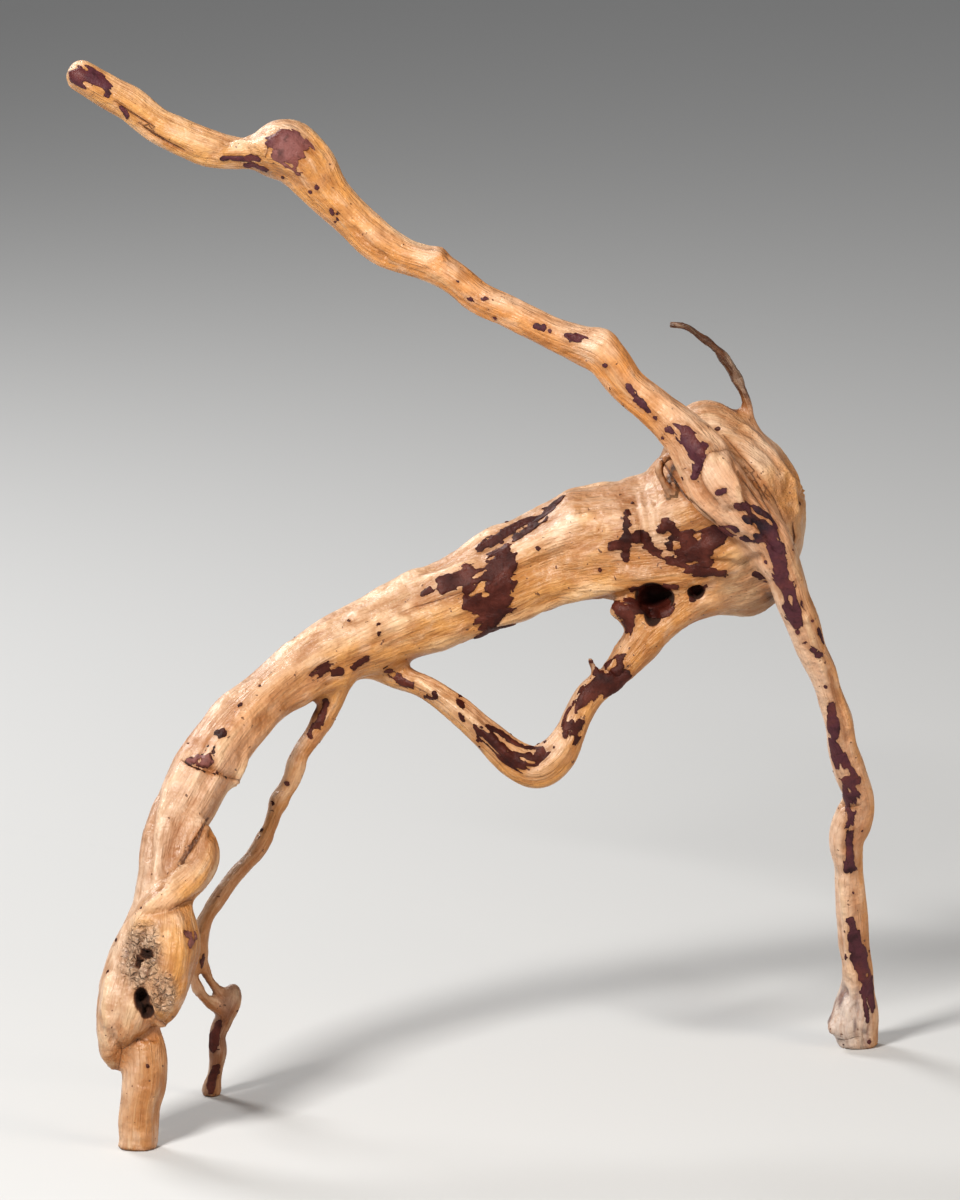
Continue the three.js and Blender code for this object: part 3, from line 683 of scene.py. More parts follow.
# kind of limb: (ridges round it, their depth as a share of the radius, how far they turn along it)
RIDGES = {
    "trunk": (5, 0.055, 2.4),
    "crown": (5, 0.055, 2.4),
    "thin": (3, 0.07, 4.0),
    "limb": (4, 0.06, 5.0),
}
THIN = {
    "thin_root", "left_strand", "right_strand", "thin_root_foot", "twig", "curled_stub", "spike", "snag",
}
LIMB_FADE = 1.5  # over about this length one limb's relief gives way to the next one's
LEAST_WEIGHT = 0.01  # limbs that weigh less than this at a vertex are left out
SEEDS_A_LIMB = 20
GRAIN_SHIFT = 300.0  # sets the limbs' grain apart


def ridge_relief(limb, across, over, along, radius):
    """The low ridges that the solid has, as a height in millimetres below the limb's width."""
    kind = "thin" if limb.name in THIN else limb.name
    count, depth, twist = RIDGES.get(kind, RIDGES["limb"])
    angle = np.arctan2(over, across)
    share = along / limb.along[-1]
    ridge = np.cos(count * angle + twist * share)
    sway = np.cos(angle - 2 * twist * share)
    return -radius * depth * (1 - 0.7 * ridge - 0.3 * sway)


def grain_relief(coords, radius, seed):
    """Grooves and low lumps in millimetres, stronger on thick limbs. Thin limbs swell at nodes."""
    # The features' sizes are given across the grain twice and along it.
    size = np.clip(radius / 12, 0.35, 1.6)
    nodes = noise(coords / [30, 30, 6.5], seed + 11) * smoothstep(6.5, 4, radius)
    bend = 0.35 * noise(coords / 25, seed + 9)
    grooves = 1 - 2 * np.abs(noise(coords * [1 / 5, 1 / 5, 1 / 38] + bend[:, None], seed))
    lumps = noise(coords / [14, 14, 22], seed + 5)
    dents = noise(coords / [6, 6, 9], seed + 7)
    return size * (0.4 * grooves + 1.2 * lumps + 0.5 * dents) + 0.7 * nodes


class Surface:
    """Every vertex's place on the limbs round it."""

    def __init__(self, points, limbs):
        coords = np.stack([limb.coordinates(points) for limb in limbs])
        gaps = coords[:, :, 0]
        weights = np.exp(-(gaps - gaps.min(0)) / LIMB_FADE)
        self.weights = weights / weights.sum(0)
        self.coords, self.limbs, self.points = coords, limbs, points

    def relief(self):
        """How far each vertex is raised along its normal, in millimetres."""
        total = np.zeros(len(self.points))
        for i, limb in enumerate(self.limbs):
            near = self.weights[i] > LEAST_WEIGHT
            grain, radius = self.coords[i, near, 1:4], self.coords[i, near, 4]
            height = ridge_relief(limb, *grain.T, radius)
            height += grain_relief(grain, radius, SEEDS_A_LIMB * i)
            total[near] += self.weights[i, near] * height
        return total

    def share(self, name):
        """How much of each vertex belongs to a limb."""
        return self.weights[[limb.name for limb in self.limbs].index(name)]

    def own_grain(self):
        """The grain coordinates of each vertex's strongest limb."""
        return self.coords[self.weights.argmax(0), np.arange(len(self.points)), 1:4]

    def grain(self, group):
        """The grain coordinates of the strongest limb of a group, and the group's weight."""
        members = [i for i, limb in enumerate(self.limbs) if limb.group == group]
        strongest = np.array(members)[self.weights[members].argmax(0)]
        rows = self.coords[strongest, np.arange(len(self.points))]
        return rows[:, 1:4] + GRAIN_SHIFT * strongest[:, None], self.weights[members].sum(0)


# ------------------------------------------------------------------ meshes


def add_object(name, data):
    """A new object in the scene."""
    made = bpy.data.objects.new(name, data)
    bpy.context.scene.collection.objects.link(made)
    return made


def make_object(name, points, faces):
    """A smooth mesh object from points in millimetres and faces that all have as many sides."""
    mesh = bpy.data.meshes.new(name)
    mesh.vertices.add(len(points))
    mesh.vertices.foreach_set("co", (points * MM).astype(np.float32).ravel())
    sides = faces.shape[1]
    mesh.loops.add(faces.size)
    mesh.loops.foreach_set("vertex_index", faces.astype(np.int32).ravel())
    mesh.polygons.add(len(faces))
    mesh.polygons.foreach_set("loop_start", np.arange(0, faces.size, sides, dtype=np.int32))
    mesh.update(calc_edges=True)
    mesh.validate()
    mesh.shade_smooth()
    return add_object(name, mesh)


def vertex_normals(points, quads):
    """Each vertex's normal, from the quads round it."""
    diagonal_a = points[quads[:, 2]] - points[quads[:, 0]]
    diagonal_b = points[quads[:, 3]] - points[quads[:, 1]]
    faces = np.cross(diagonal_a, diagonal_b)
    normals = np.zeros_like(points)
    for k in range(4):
        for axis in range(3):
            normals[:, axis] += np.bincount(quads[:, k], faces[:, axis], len(points))
    return normals / np.maximum(np.linalg.norm(normals, axis=1, keepdims=True), 1e-9)


def add_attribute(mesh, name, values):
    """Stores a number or a vector for each vertex."""
    kind, field = ("FLOAT", "value") if values.ndim == 1 else ("FLOAT_VECTOR", "vector")
    layer = mesh.attributes.new(name, kind, "POINT")
    layer.data.foreach_set(field, values.astype(np.float32).ravel())


# ------------------------------------------------------------------ strokes carried onto the wood

SIGHT_START = 400  # lines of sight start this far in front of the board, or behind it
STROKE_SPACING = 0.8
STROKE_REACH = 8.0  # how far from a stroke its depth is worked out


def along_stroke(rows):
    """Places and widths along a stroke, close together."""
    rows = np.array(rows, float)
    place = np.concatenate([[0], np.cumsum(np.linalg.norm(np.diff(rows[:, :2], axis=0), axis=1))])
    stops = np.arange(0, place[-1] + STROKE_SPACING / 2, STROKE_SPACING)
    return np.stack([np.interp(stops, place, rows[:, k]) for k in range(3)], 1)


def carried(tree, strokes, from_front=True):
    """Each stroke as balls where lines of sight meet the wood: rows of centre and radius."""
    start, onward = (-SIGHT_START, 1) if from_front else (SIGHT_START, -1)
    sight = Vector((on_board([0, 0, onward]) - on_board([0, 0, 0]))[0]).normalized()
    balls = []
    for rows in strokes.values():
        hits = []
        for across, up, width in along_stroke(rows):
            place = tree.ray_cast(Vector(on_board([across, up, start])[0]), sight)[0]
            if place is not None:
                hits.append([*place, width / 2])
        if hits:
            balls.append(np.array(hits))
    return balls


def dots(rows):
    """Single spots, as strokes that stay in one place."""
    return {index: [row, row] for index, row in enumerate(rows)}


def scattered_flecks(points):
    """Tiny flecks of bark anywhere on the wood, at places drawn at random."""
    draw = np.random.default_rng(FLECK_SEED)
    places = points[draw.integers(len(points), size=SCATTERED_FLECKS)]
    radii = draw.uniform(*FLECK_RADII, SCATTERED_FLECKS)
    return [np.array([[*place, radius]]) for place, radius in zip(places, radii)]


def depth_in_strokes(points, balls, reach=STROKE_REACH):
    """How far inside the strokes each point is, and the radius of the stroke that holds it."""
    depth = np.full(len(points), -reach)
    radius = np.ones(len(points))
    for rows in balls:
        near = in_box(points, rows[:, :3], rows[:, 3].max() + reach)
        gaps = np.linalg.norm(points[near, None] - rows[None, :, :3], axis=2)
        inside = rows[:, 3] - gaps
        best = inside.argmax(1)
        value = inside[np.arange(len(near)), best]
        better = value > depth[near]
        depth[near[better]] = value[better]
        radius[near[better]] = rows[best[better], 3]
    return depth, radius


def stroke_profile(points, balls):
    """A rounded rise from 0 at a stroke's edge to 1 on its line."""
    depth, radius = depth_in_strokes(points, balls)
    return np.exp(-(((radius - depth) / radius) ** 2))


# ------------------------------------------------------------------ the bark's shell


def edges_of(triangles):
    """The three sides of every triangle."""
    return np.concatenate([triangles[:, [0, 1]], triangles[:, [1, 2]], triangles[:, [2, 0]]])


def halved(rows, triangles):
    """Splits every triangle in four. Rows hold everything known about each vertex."""
    edges, middle = np.unique(np.sort(edges_of(triangles), 1), axis=0, return_inverse=True)
    middles = rows[edges].mean(1)
    ab, bc, ca = middle.reshape(3, -1) + len(rows)
    a, b, c = triangles.T
    parts = ((a, ab, ca), (ab, b, bc), (ca, bc, c), (ab, bc, ca))
    return np.concatenate([rows, middles]), np.concatenate([np.stack(part, 1) for part in parts])


def trimmed(rows, triangles, depth):
    """Keeps the triangles' part where the depth is above 0, cut along the line where it is 0."""
    inside = depth > 0
    count = inside[triangles].sum(1)

    def turned(chosen, first):
        """Starts each triangle at the corner with this number."""
        return np.take_along_axis(chosen, (first[:, None] + np.arange(3)) % 3, 1)

    one = triangles[count == 1]
    one = turned(one, inside[one].argmax(1))
    two = triangles[count == 2]
    two = turned(two, (~inside[two]).argmax(1))
    cuts = np.concatenate([one[:, [0, 1]], one[:, [0, 2]], two[:, [0, 1]], two[:, [0, 2]]])
    ends, place = np.unique(np.sort(cuts, 1), axis=0, return_inverse=True)
    share = (depth[ends[:, 0]] / (depth[ends[:, 0]] - depth[ends[:, 1]]))[:, None]
    added = rows[ends[:, 0]] * (1 - share) + rows[ends[:, 1]] * share
    place = place.ravel() + len(rows)
    one_b, one_c, two_b, two_c = np.split(place, [len(one), 2 * len(one), 2 * len(one) + len(two)])
    kept = np.concatenate(
        [
            triangles[count == 3],
            np.stack([one[:, 0], one_b, one_c], 1),
            np.stack([two_b, two[:, 1], two[:, 2]], 1),
            np.stack([two_b, two[:, 2], two_c], 1),
        ]
    )
    rows = np.concatenate([rows, added])
    depth = np.concatenate([depth, np.zeros(len(added))])
    used, kept = np.unique(kept, return_inverse=True)
    return rows[used], kept.reshape(-1, 3), depth[used]


BARK_THICKNESS = 0.55
SLIT_THICKNESS = 0.1
BARK_ROOT = 0.5  # how deep the shell's underside lies in the wood
ROW_PARTS = [3, 6, 7, 8, 9, 12]  # a row's parts: place, normal, depth, radius, lift, colour and grain
SHARP = math.radians(45)
FLAKE = 3.0  # the size of the bark's broken edges
CHIP = 1.5  # the same for narrow strokes
BROAD = 2.0  # strokes with a larger radius than this aren't narrow
TEAR = np.array([1.6, 1.6, 5.0])  # the size of the tears, across the grain twice and along it
GAP = np.array([2.6, 2.6, 5.5])  # the size of the gaps inside a patch, in the same order
GAP_DEPTH = 5.0  # how far inside a patch a gap can still open
EDGE_REACH = 3.5  # how far from a patch its edge may wander


def flaked_depth(points, depth, radius, grain, balls):
    """How far inside the bark each point is, once it has flaked off and torn along the grain."""
    whole = []
    for size, seed in ((FLAKE, 70), (CHIP, 75)):
        first, second, border = cell_borders(points / size, seed)
        inner = depth_in_strokes(first * size, balls, EDGE_REACH)[0]
        outer = depth_in_strokes(second * size, balls, EDGE_REACH)[0]
        share = 0.5 + 0.5 * smoothstep(0, 0.3, border)
        whole.append(inner * share + outer * (1 - share))
    broad, narrow = 0.5 * depth + 0.25 * sum(whole), 0.35 * depth + 0.65 * whole[1]
    flakes = np.where(radius > BROAD, broad, narrow)
    tears = noise(grain / TEAR, 76) + 0.5 * noise(grain / TEAR * 2, 77)
    tear_depth = np.clip(0.5 * radius, 0.2, 2.1)
    gaps = smoothstep(0.42, 0.66, noise(grain / GAP, 78))
    return flakes + 0.4 + tear_depth * tears - GAP_DEPTH * gaps


def bark_and_slit_shade_shell(points, quads, normals, depth, radius, lift, colours, grain, balls):
    """A thin closed shell over each patch and in each slit, with a ragged edge; the slits' shells are
    painted near-black as shade.
    """
    near = depth > -EDGE_REACH
    quads = quads[near[quads].any(1)]
    triangles = np.concatenate([quads[:, [0, 1, 2]], quads[:, [0, 2, 3]]])
    used, triangles = np.unique(triangles, return_inverse=True)
    rows = np.column_stack([points, normals, depth, radius, lift, colours, grain])[used]
    triangles = triangles.reshape(-1, 3)
    rows, triangles = halved(rows, triangles)
    place, _, depth, radius, _, _, grain = np.split(rows, ROW_PARTS, axis=1)
    depth = flaked_depth(place, depth.ravel(), radius.ravel(), grain, balls)
    rows, triangles, depth = trimmed(rows, triangles, depth)
    place, normals, _, _, lift, colours, _ = np.split(rows, ROW_PARTS, axis=1)
    normals /= np.linalg.norm(normals, axis=1, keepdims=True)
    # The shell is uneven, and half as high at its rim.
    height = 0.45 + 0.55 * smoothstep(0, 0.8, depth) + 0.2 * noise(place / FLAKE, 75)
    top = place + normals * height[:, None] * lift
    under = place - normals * BARK_ROOT
    count = len(place)
    edges = edges_of(triangles)
    _, first, times = np.unique(np.sort(edges, 1), axis=0, return_index=True, return_counts=True)
    rim = edges[first[times == 1]]
    walls = np.concatenate(
        [
            np.stack([rim[:, 1], rim[:, 0], rim[:, 0] + count], 1),
            np.stack([rim[:, 1], rim[:, 0] + count, rim[:, 1] + count], 1),
        ]
    )
    faces = np.concatenate([triangles, triangles[:, ::-1] + count, walls])
    piece = make_object("root_bark", np.concatenate([top, under]), faces)
    piece.data.set_sharp_from_angle(angle=SHARP)
    add_attribute(piece.data, "edge", np.concatenate([depth, depth]))
    add_attribute(piece.data, "bark_and_slit_shade_colour", np.tile(colours, (2, 1)))
    return piece


# ------------------------------------------------------------------ features that are carved or raised

SWELL_HEIGHT = 1.8
DIP_DEPTH = 2.1
SPLINTER_HEIGHT = 1.1
CRUMB = 4.0  # the size of the scar's crumbs
SCAR = {"at": [-159.5, 70, -100], "half": [13, 16, 19]}  # the pitted scar on the swollen foot
SCAR_STAR = [9, 16, 9]  # half the size of its dark middle
SCAR_LOW = {"at": [-150, 54, -108], "half": [7, 14, 12]}
PLEATS = {"across": 80, "up": 280, "half": [9, 17], "spacing": 4.6}  # folds in the trunk's skin
PLEAT_HEIGHT = 0.9
SPLINTERS = {"at": [180, 34, 98], "half": [16, 20, 24]}  # split fibres of the leg's foot
SPLINTER = np.array([2.6, 2.6, 30])  # a fibre's size, as a row of across, back and up
FOLD_RISE = 0.4  # a fold's step up and down, as a share of its radius
FOLD_SLOPE = 0.7  # how far from its line the step is nearly whole
FOLD_REACH = 2.5  # how far a fold is felt, as a share of its radius
LINE_HALF = 0.45  # half the width of a dark line, as a share of its stroke's radius
LINE_REACH = 6  # how far a dark line is looked for, in the same measure


def board_place(points):
    """Row coordinates back to the board: across and up."""
    up = points[:, 2] * math.cos(BOARD_LEAN) + points[:, 1] * math.sin(BOARD_LEAN)
    return points[:, 0], up


def nearness(points, at, half):
    """1 in the middle of an oval region and 0 outside it."""
    gap = np.linalg.norm((points - on_board(at)[0]) / np.array(half, float), axis=1)
    return smoothstep(1.15, 0.55, gap)


def scar_share(points):
    """1 on the scar and 0 off it."""
    return np.maximum(nearness(points, **SCAR), nearness(points, **SCAR_LOW))


def scar_rays(points):
    """Creases that run out from the scar's middle, from -1 to 1."""
    away = (points - on_board(SCAR["at"])[0]) * [1, 0, 1]
    ring = np.linalg.norm(away, axis=1)
    turn = np.arctan2(away[:, 2], away[:, 0])
    return noise(np.stack([2.4 * turn, ring / 9, 0 * ring], 1), 122)


def scar_crumbs(points):
    """The scar's crumbs: their height, and how deep in a crevice each point is, from 0 to 1."""
    rays = scar_rays(points)
    first, _, border = cell_borders(points / CRUMB, 130)
    crevice = 1 - smoothstep(0.05, 0.4, border + 0.25 * rays)
    share = scar_share(points)
    rise = 0.9 + 0.9 * cell_value(np.floor(first).astype(np.int64), 131) + 0.8 * rays
    return share * (rise - 1.2 * crevice), share * crevice


def foot_splinters(points):
    """The split fibres of the leg's foot, from -1 to 1, and where they are."""
    return noise(points / SPLINTER, 130), nearness(points, **SPLINTERS)


def beside_strokes(points, strokes, reach):
    """For each stroke, the points near it: which, how far left of it, how far away, and its radius."""
    place = np.stack(board_place(points), 1)
    for rows in strokes:
        line = np.stack(board_place(rows[:, :3]), 1)
        ahead = np.gradient(line, axis=0)
        ahead /= np.maximum(np.linalg.norm(ahead, axis=1, keepdims=True), 1e-6)
        near = in_box(points, rows[:, :3], reach * rows[:, 3].max())
        gaps = np.linalg.norm(points[near, None] - rows[None, :, :3], axis=2)
        nearest = gaps.argmin(1)
        away = place[near] - line[nearest]
        side = ahead[nearest, 0] * away[:, 1] - ahead[nearest, 1] * away[:, 0]
        yield near, side, gaps.min(1), rows[nearest, 3]


def fold_height(points, folds):
    """Up on the left of each fold's line and down on its right, dying away with the fold's radius."""
    height = np.zeros(len(points))
    for near, side, gap, radius in beside_strokes(points, folds, FOLD_REACH):
        fade = np.exp(-((gap / radius) ** 2))
        height[near] += FOLD_RISE * radius * fade * np.tanh(side / FOLD_SLOPE)
    return height


def thin_lines(points, strokes):
    """How many half widths each point is off the nearest dark line, and how strong the line is. The dark
    lines are painted shade in the cracks and the folds' seams.
    """
    off = np.full(len(points), FAR)
    strength = np.zeros(len(points))
    for near, side, gap, radius in beside_strokes(points, strokes, LINE_REACH):
        share = smoothstep(3.2, 1.6, gap) * np.minimum(radius / 0.7, 1)
        better = share > strength[near]
        off[near[better]] = side[better] / np.clip(LINE_HALF * radius[better], 0.2, 0.7)
        strength[near[better]] = share[better]
    return off, strength


def knot_height(points, balls):
    """A low ring round a small eye for each knot."""
    depth, radius = depth_in_strokes(points, balls)
    out = np.clip((radius - depth) / radius, 0, 3)
    ring = np.exp(-(((out - 0.8) / 0.35) ** 2))
    eye = np.exp(-((out / 0.35) ** 2))
    return radius * (0.25 * ring - 0.3 * eye)


def pleat_height(points):
    """Small upright folds, within a window on the front of the trunk."""
    across, up = board_place(points)
    half_across, half_up = PLEATS["half"]
    window = smoothstep(1.0, 0.5, np.abs(across - PLEATS["across"]) / half_across)
    window = window * smoothstep(1.0, 0.6, np.abs(up - PLEATS["up"]) / half_up)
    window = window * smoothstep(45, 30, points[:, 1])
    bend = 1.6 * np.sin(up / 9)
    return PLEAT_HEIGHT * window * np.cos(2 * math.pi * (across + bend) / PLEATS["spacing"])


def carved_features(points, tree, crack_depth, crack_radius):
    """The height of everything that isn't along the grain, in millimetres."""
    height = SWELL_HEIGHT * stroke_profile(points, carried(tree, SWELLS))
    height -= DIP_DEPTH * stroke_profile(points, carried(tree, DIPS))
    height += fold_height(points, carried(tree, FOLDS))
    height -= (0.4 + 1.1 * crack_radius) * smoothstep(-1.7, 0.8, crack_depth)
    height += scar_crumbs(points)[0]
    height += knot_height(points, carried(tree, dots(KNOTS)))
    height += pleat_height(points)
    splinters, share = foot_splinters(points)
    return height + SPLINTER_HEIGHT * splinters * share


# ------------------------------------------------------------------ colours


def srgb(red, green, blue):
    """A colour as seen on a screen, from 0 to 255, in the shader's own scale."""
    part = np.array([red, green, blue]) / 255
    return np.where(part <= 0.04045, part / 12.92, ((part + 0.055) / 1.055) ** 2.4)


HONEY = srgb(206, 150, 86)
CREAM = srgb(232, 206, 168)
BONE = srgb(190, 176, 168)
SLATE = srgb(112, 92, 92)
SKIN = srgb(226, 196, 170)
PINK = srgb(208, 158, 122)
PEACH = srgb(210, 142, 76)
GOLD = srgb(198, 138, 66)
TAN = srgb(176, 122, 72)
AMBER = srgb(150, 92, 42)
BROWN = srgb(92, 54, 32)
UMBER = srgb(108, 66, 48)
DARK_TWIG_AND_SHADE = srgb(22, 11, 8)
ASH = srgb(186, 154, 128)
MAROON = srgb(68, 24, 14)
PLUM = srgb(88, 48, 58)
MAUVE = srgb(140, 92, 86)
OVERHANG_SHADE = srgb(28, 20, 30)
RUST = srgb(112, 58, 46)
SOOT = srgb(34, 14, 14)
CHAR = srgb(30, 13, 13)
TORN = srgb(44, 20, 16)

# Each limb's colour: (place along it from 0 to 1, colour).
LIMB_COLOURS = {
    "trunk": [(0, GOLD), (0.15, HONEY), (0.5, HONEY), (0.66, PINK), (0.82, ASH), (1, TAN)],
    "crown": [(0, CREAM), (0.35, SKIN), (0.6, HONEY), (1, GOLD)],
    "arm_and_leg": [
        (0, HONEY), (0.12, HONEY), (0.3, PEACH), (0.46, PEACH), (0.52, PINK), (0.9, PINK), (1, HONEY),
    ],
    "hook": [(0, HONEY), (0.5, HONEY), (1, GOLD)],
    "shoulder": [(0, TAN), (0.5, HONEY), (1, HONEY)],
    "bulge": [(0, HONEY), (1, GOLD)],
    "trunk_foot": [(0, TAN), (1, TAN)],
    "thin_root": [(0, HONEY), (0.6, TAN), (1, TAN)],
    "left_strand": [(0, TAN), (1, AMBER)],
    "right_strand": [(0, TAN), (1, AMBER)],
    "thin_root_foot": [(0, UMBER), (0.4, UMBER), (0.7, TAN), (1, UMBER)],
    "twig": [(0, HONEY), (0.2, PINK), (0.35, UMBER), (0.5, BROWN), (1, BROWN)],
    "curled_stub": [(0, HONEY), (1, BROWN)],
    "spike": [(0, AMBER), (1, BROWN)],
    "snag": [(0, AMBER), (1, CREAM)],
}

# Where the bark's colour differs: (middle on the board, half the size).
MAUVE_SPOTS = [
    ([-91, 454, 50], [14, 20, 14]),
    ([-134, 163, -45], [10, 20, 7]),
    ([-137, 79, -95], [6, 20, 7]),
]
# Where the bark is painted near-black as the shade under the overhang at the leg's top.
OVERHANG_SHADE_SPOT = ([131, 278, 6], [11, 18, 11])
STREAK = np.array([3.2, 3.2, 26])  # the size of the streaks, across the grain twice and along it
PAINTED_LIGHT_SIDE = np.array([-0.5, -0.15, 0.85])  # surfaces facing this way are painted paler as light, and the far side darker as shade
# The leg's side that is painted paler as light; its far side is painted gold as shade.
LEG_PAINTED_LIGHT_SIDE = np.array([-0.95, -0.3, 0.0])


def blend(colours, other, share):
    """Mixes another colour in, by a share that is held between 0 and 1."""
    share = np.clip(share, 0, 1)[:, None]
    return colours * (1 - share) + other * share


def depth_in_hollows(points):
    """How far each point is inside the hollows, in millimetres."""
    depth = np.full(len(points), -REACH)
    for at, half, _ in HOLLOWS.values():
        gap = np.linalg.norm((points - on_board(at)[0]) / np.array(half), axis=1)
        depth = np.maximum(depth, (1 - gap) * min(half))
    return depth


def bark_colours(surface, points):
    """The bark's colour at every vertex: purple on the arm and leg, and painted darkest at the leg's top
    as the shade under the overhang.
    """
    purple = surface.share("arm_and_leg")
    colours = blend(np.tile(MAROON, (len(points), 1)), PLUM, 0.8 * purple)
    for at, half in MAUVE_SPOTS:
        colours = blend(colours, MAUVE, 0.8 * nearness(points, at, half))
    return blend(colours, OVERHANG_SHADE, 0.9 * nearness(points, *OVERHANG_SHADE_SPOT))


def limb_tones(surface):
    """Every vertex's tone from the limbs round it, and streaks along them, mostly from -1 to 1."""
    colours = np.zeros((len(surface.points), 3))
    streaks = np.zeros(len(surface.points))
    for i, limb in enumerate(surface.limbs):
        near = surface.weights[i] > LEAST_WEIGHT
        weight, place = surface.weights[i, near], surface.coords[i, near, 1:4]
        stops, tones = zip(*LIMB_COLOURS[limb.name])
        share = place[:, 2] / limb.along[-1]
        tone = np.stack([np.interp(share, stops, part) for part in np.transpose(tones)], 1)
        colours[near] += weight[:, None] * tone
        grain = place / STREAK
        streak = layered(grain + 40 * i, 2, 90) + 0.8 * noise(grain / [4, 4, 2.4], 93 + i)
        streaks[near] += weight * streak
    return colours, streaks


def placed_colours(colours, surface, points, normals):
    """Adds the colours of the twig, the thin root's foot, the scar and the split fibres, with painted
    light and shade on the scar's crumbs and the foot.
    """
    on_twig = surface.share("twig") * smoothstep(320, 350, points[:, 2])
    # The thin root's foot takes its umber colour everywhere but its right-facing side, which is left
    # pale as painted light.
    foot_off_lit_side = surface.share("thin_root_foot") * smoothstep(0.9, -0.1, normals[:, 0])
    crumbs, crevice_shade = scar_crumbs(points)
    splinters, share = foot_splinters(points)
    rays = smoothstep(0.0, 0.6, scar_rays(points)) * nearness(points, SCAR["at"], SCAR_STAR)
    tints = [
        (BROWN, on_twig),
        (DARK_TWIG_AND_SHADE, 0.4 * on_twig),
        (UMBER, 0.5 * foot_off_lit_side),
        (ASH, 0.65 * scar_share(points)),
        # the raised crumbs painted paler as light, and the gaps between them brown as shade
        (SKIN, 0.6 * smoothstep(0.6, 2.2, crumbs)),
        (BROWN, 0.2 * smoothstep(0.5, 1.0, crevice_shade)),
        (BONE, 0.8 * share),
        (SLATE, 0.8 * share * smoothstep(0.05, 0.55, -splinters)),
        (BROWN, 0.75 * rays),
    ]
    for tone, amount in tints:
        colours = blend(colours, tone, amount)
    return colours


def wood_colours(surface, points, normals, crease_shade, height, bark_depth, crack_depth, pale_depth):
    """The wood's colour at every vertex, with painted light and shade, before the fine grain."""
    colours, streaks = limb_tones(surface)
    clouds = layered(points / 26, 3, 95)
    mottling = layered(points / 8, 3, 98)
    streaks = streaks * (0.55 + 0.6 * clouds)
    lit = normals @ PAINTED_LIGHT_SIDE
    to_leg_light = normals @ LEG_PAINTED_LIGHT_SIDE
    on_leg = surface.share("arm_and_leg") * smoothstep(285, 240, points[:, 2])
    # Each tone layer is (colour, share, where it begins, where it is full, what is measured); some are
    # the wood's own tints, and some are painted light and shade.
    tone_layers = [
        # painted light on the side facing PAINTED_LIGHT_SIDE, and painted shade on the far side
        (SKIN, 0.65, 0.1, 1.0, lit + 0.4 * clouds),
        (AMBER, 0.5, 0.1, 1.0, -lit + 0.4 * clouds),
        # the leg painted paler as light on its left, and gold as shade on its right
        (SKIN, 0.6 * on_leg, -0.2, 0.8, to_leg_light),
        (GOLD, 0.7 * on_leg, 0.1, 0.8, -to_leg_light),
        (CREAM, 0.4, 0.2, 1.0, streaks),
        (AMBER, 0.5, 0.2, 1.0, -streaks),
        (PINK, 0.35, 0.15, 0.8, mottling),
        (AMBER, 0.4, 0.25, 0.9, -mottling),
        # painted light on the raised relief, and painted shade in its dips
        (CREAM, 0.35, 0.4, 1.6, height),
        (AMBER, 0.5, 0.3, 1.8, -height),
        # painted shade in the creases
        (AMBER, 0.7, 0.15, 0.6, crease_shade),
        (BROWN, 0.8, 0.5, 1.0, crease_shade),
        # pale bare skin, and a painted highlight at trunk_shine
        (SKIN, 0.35, -3.5, 2.5, pale_depth + 1.5 * mottling),
        (AMBER, 0.4, -3.0, 0, bark_depth + 1.5 * clouds),
        # painted shade along the cracks, the folds' seams and the slits
        (AMBER, 0.6, -2.0, 0.3, crack_depth),
    ]
    for tone, share, begins, full, measure in tone_layers:
        colours = blend(colours, tone, share * smoothstep(begins, full, measure))
    return placed_colours(colours, surface, points, normals)


# ------------------------------------------------------------------ the root

GRAIN_GROUPS = 3
CREASE_REACH = 6  # how far out a crease is felt for
FLOOR_FADE = 3  # the relief dies away this close to the floor
FOOT_SNAP = 0.4  # what is closer to the floor than this stands on it


def grown_mesh(limbs):
    """The melted limbs' surface, as points, quads and outward normals, and how creased it is, for the
    painted shade in the creases.
    """
    field = grow_field(limbs)
    points, quads = field.mesh()
    normals = vertex_normals(points, quads)
    inward = field.at(points + normals) < field.at(points - normals)
    if inward.mean() > 0.5:
        quads, normals = quads[:, ::-1], -normals
    crease_shade = np.clip(1 - field.at(points + normals * CREASE_REACH) / CREASE_REACH, 0, 1)
    return points, quads, normals, crease_shade


def fold_seams(tree):
    """The folds' lines, all as narrow as a seam."""
    return [np.column_stack([rows[:, :3], np.full(len(rows), SEAM)]) for rows in carried(tree, FOLDS)]


def bark_strokes(points, tree):
    """The bark's strokes on both sides, and the flecks."""
    balls = carried(tree, BARK) + carried(tree, BACK_BARK, from_front=False)
    return balls + carried(tree, dots(FLECKS)) + scattered_flecks(points)


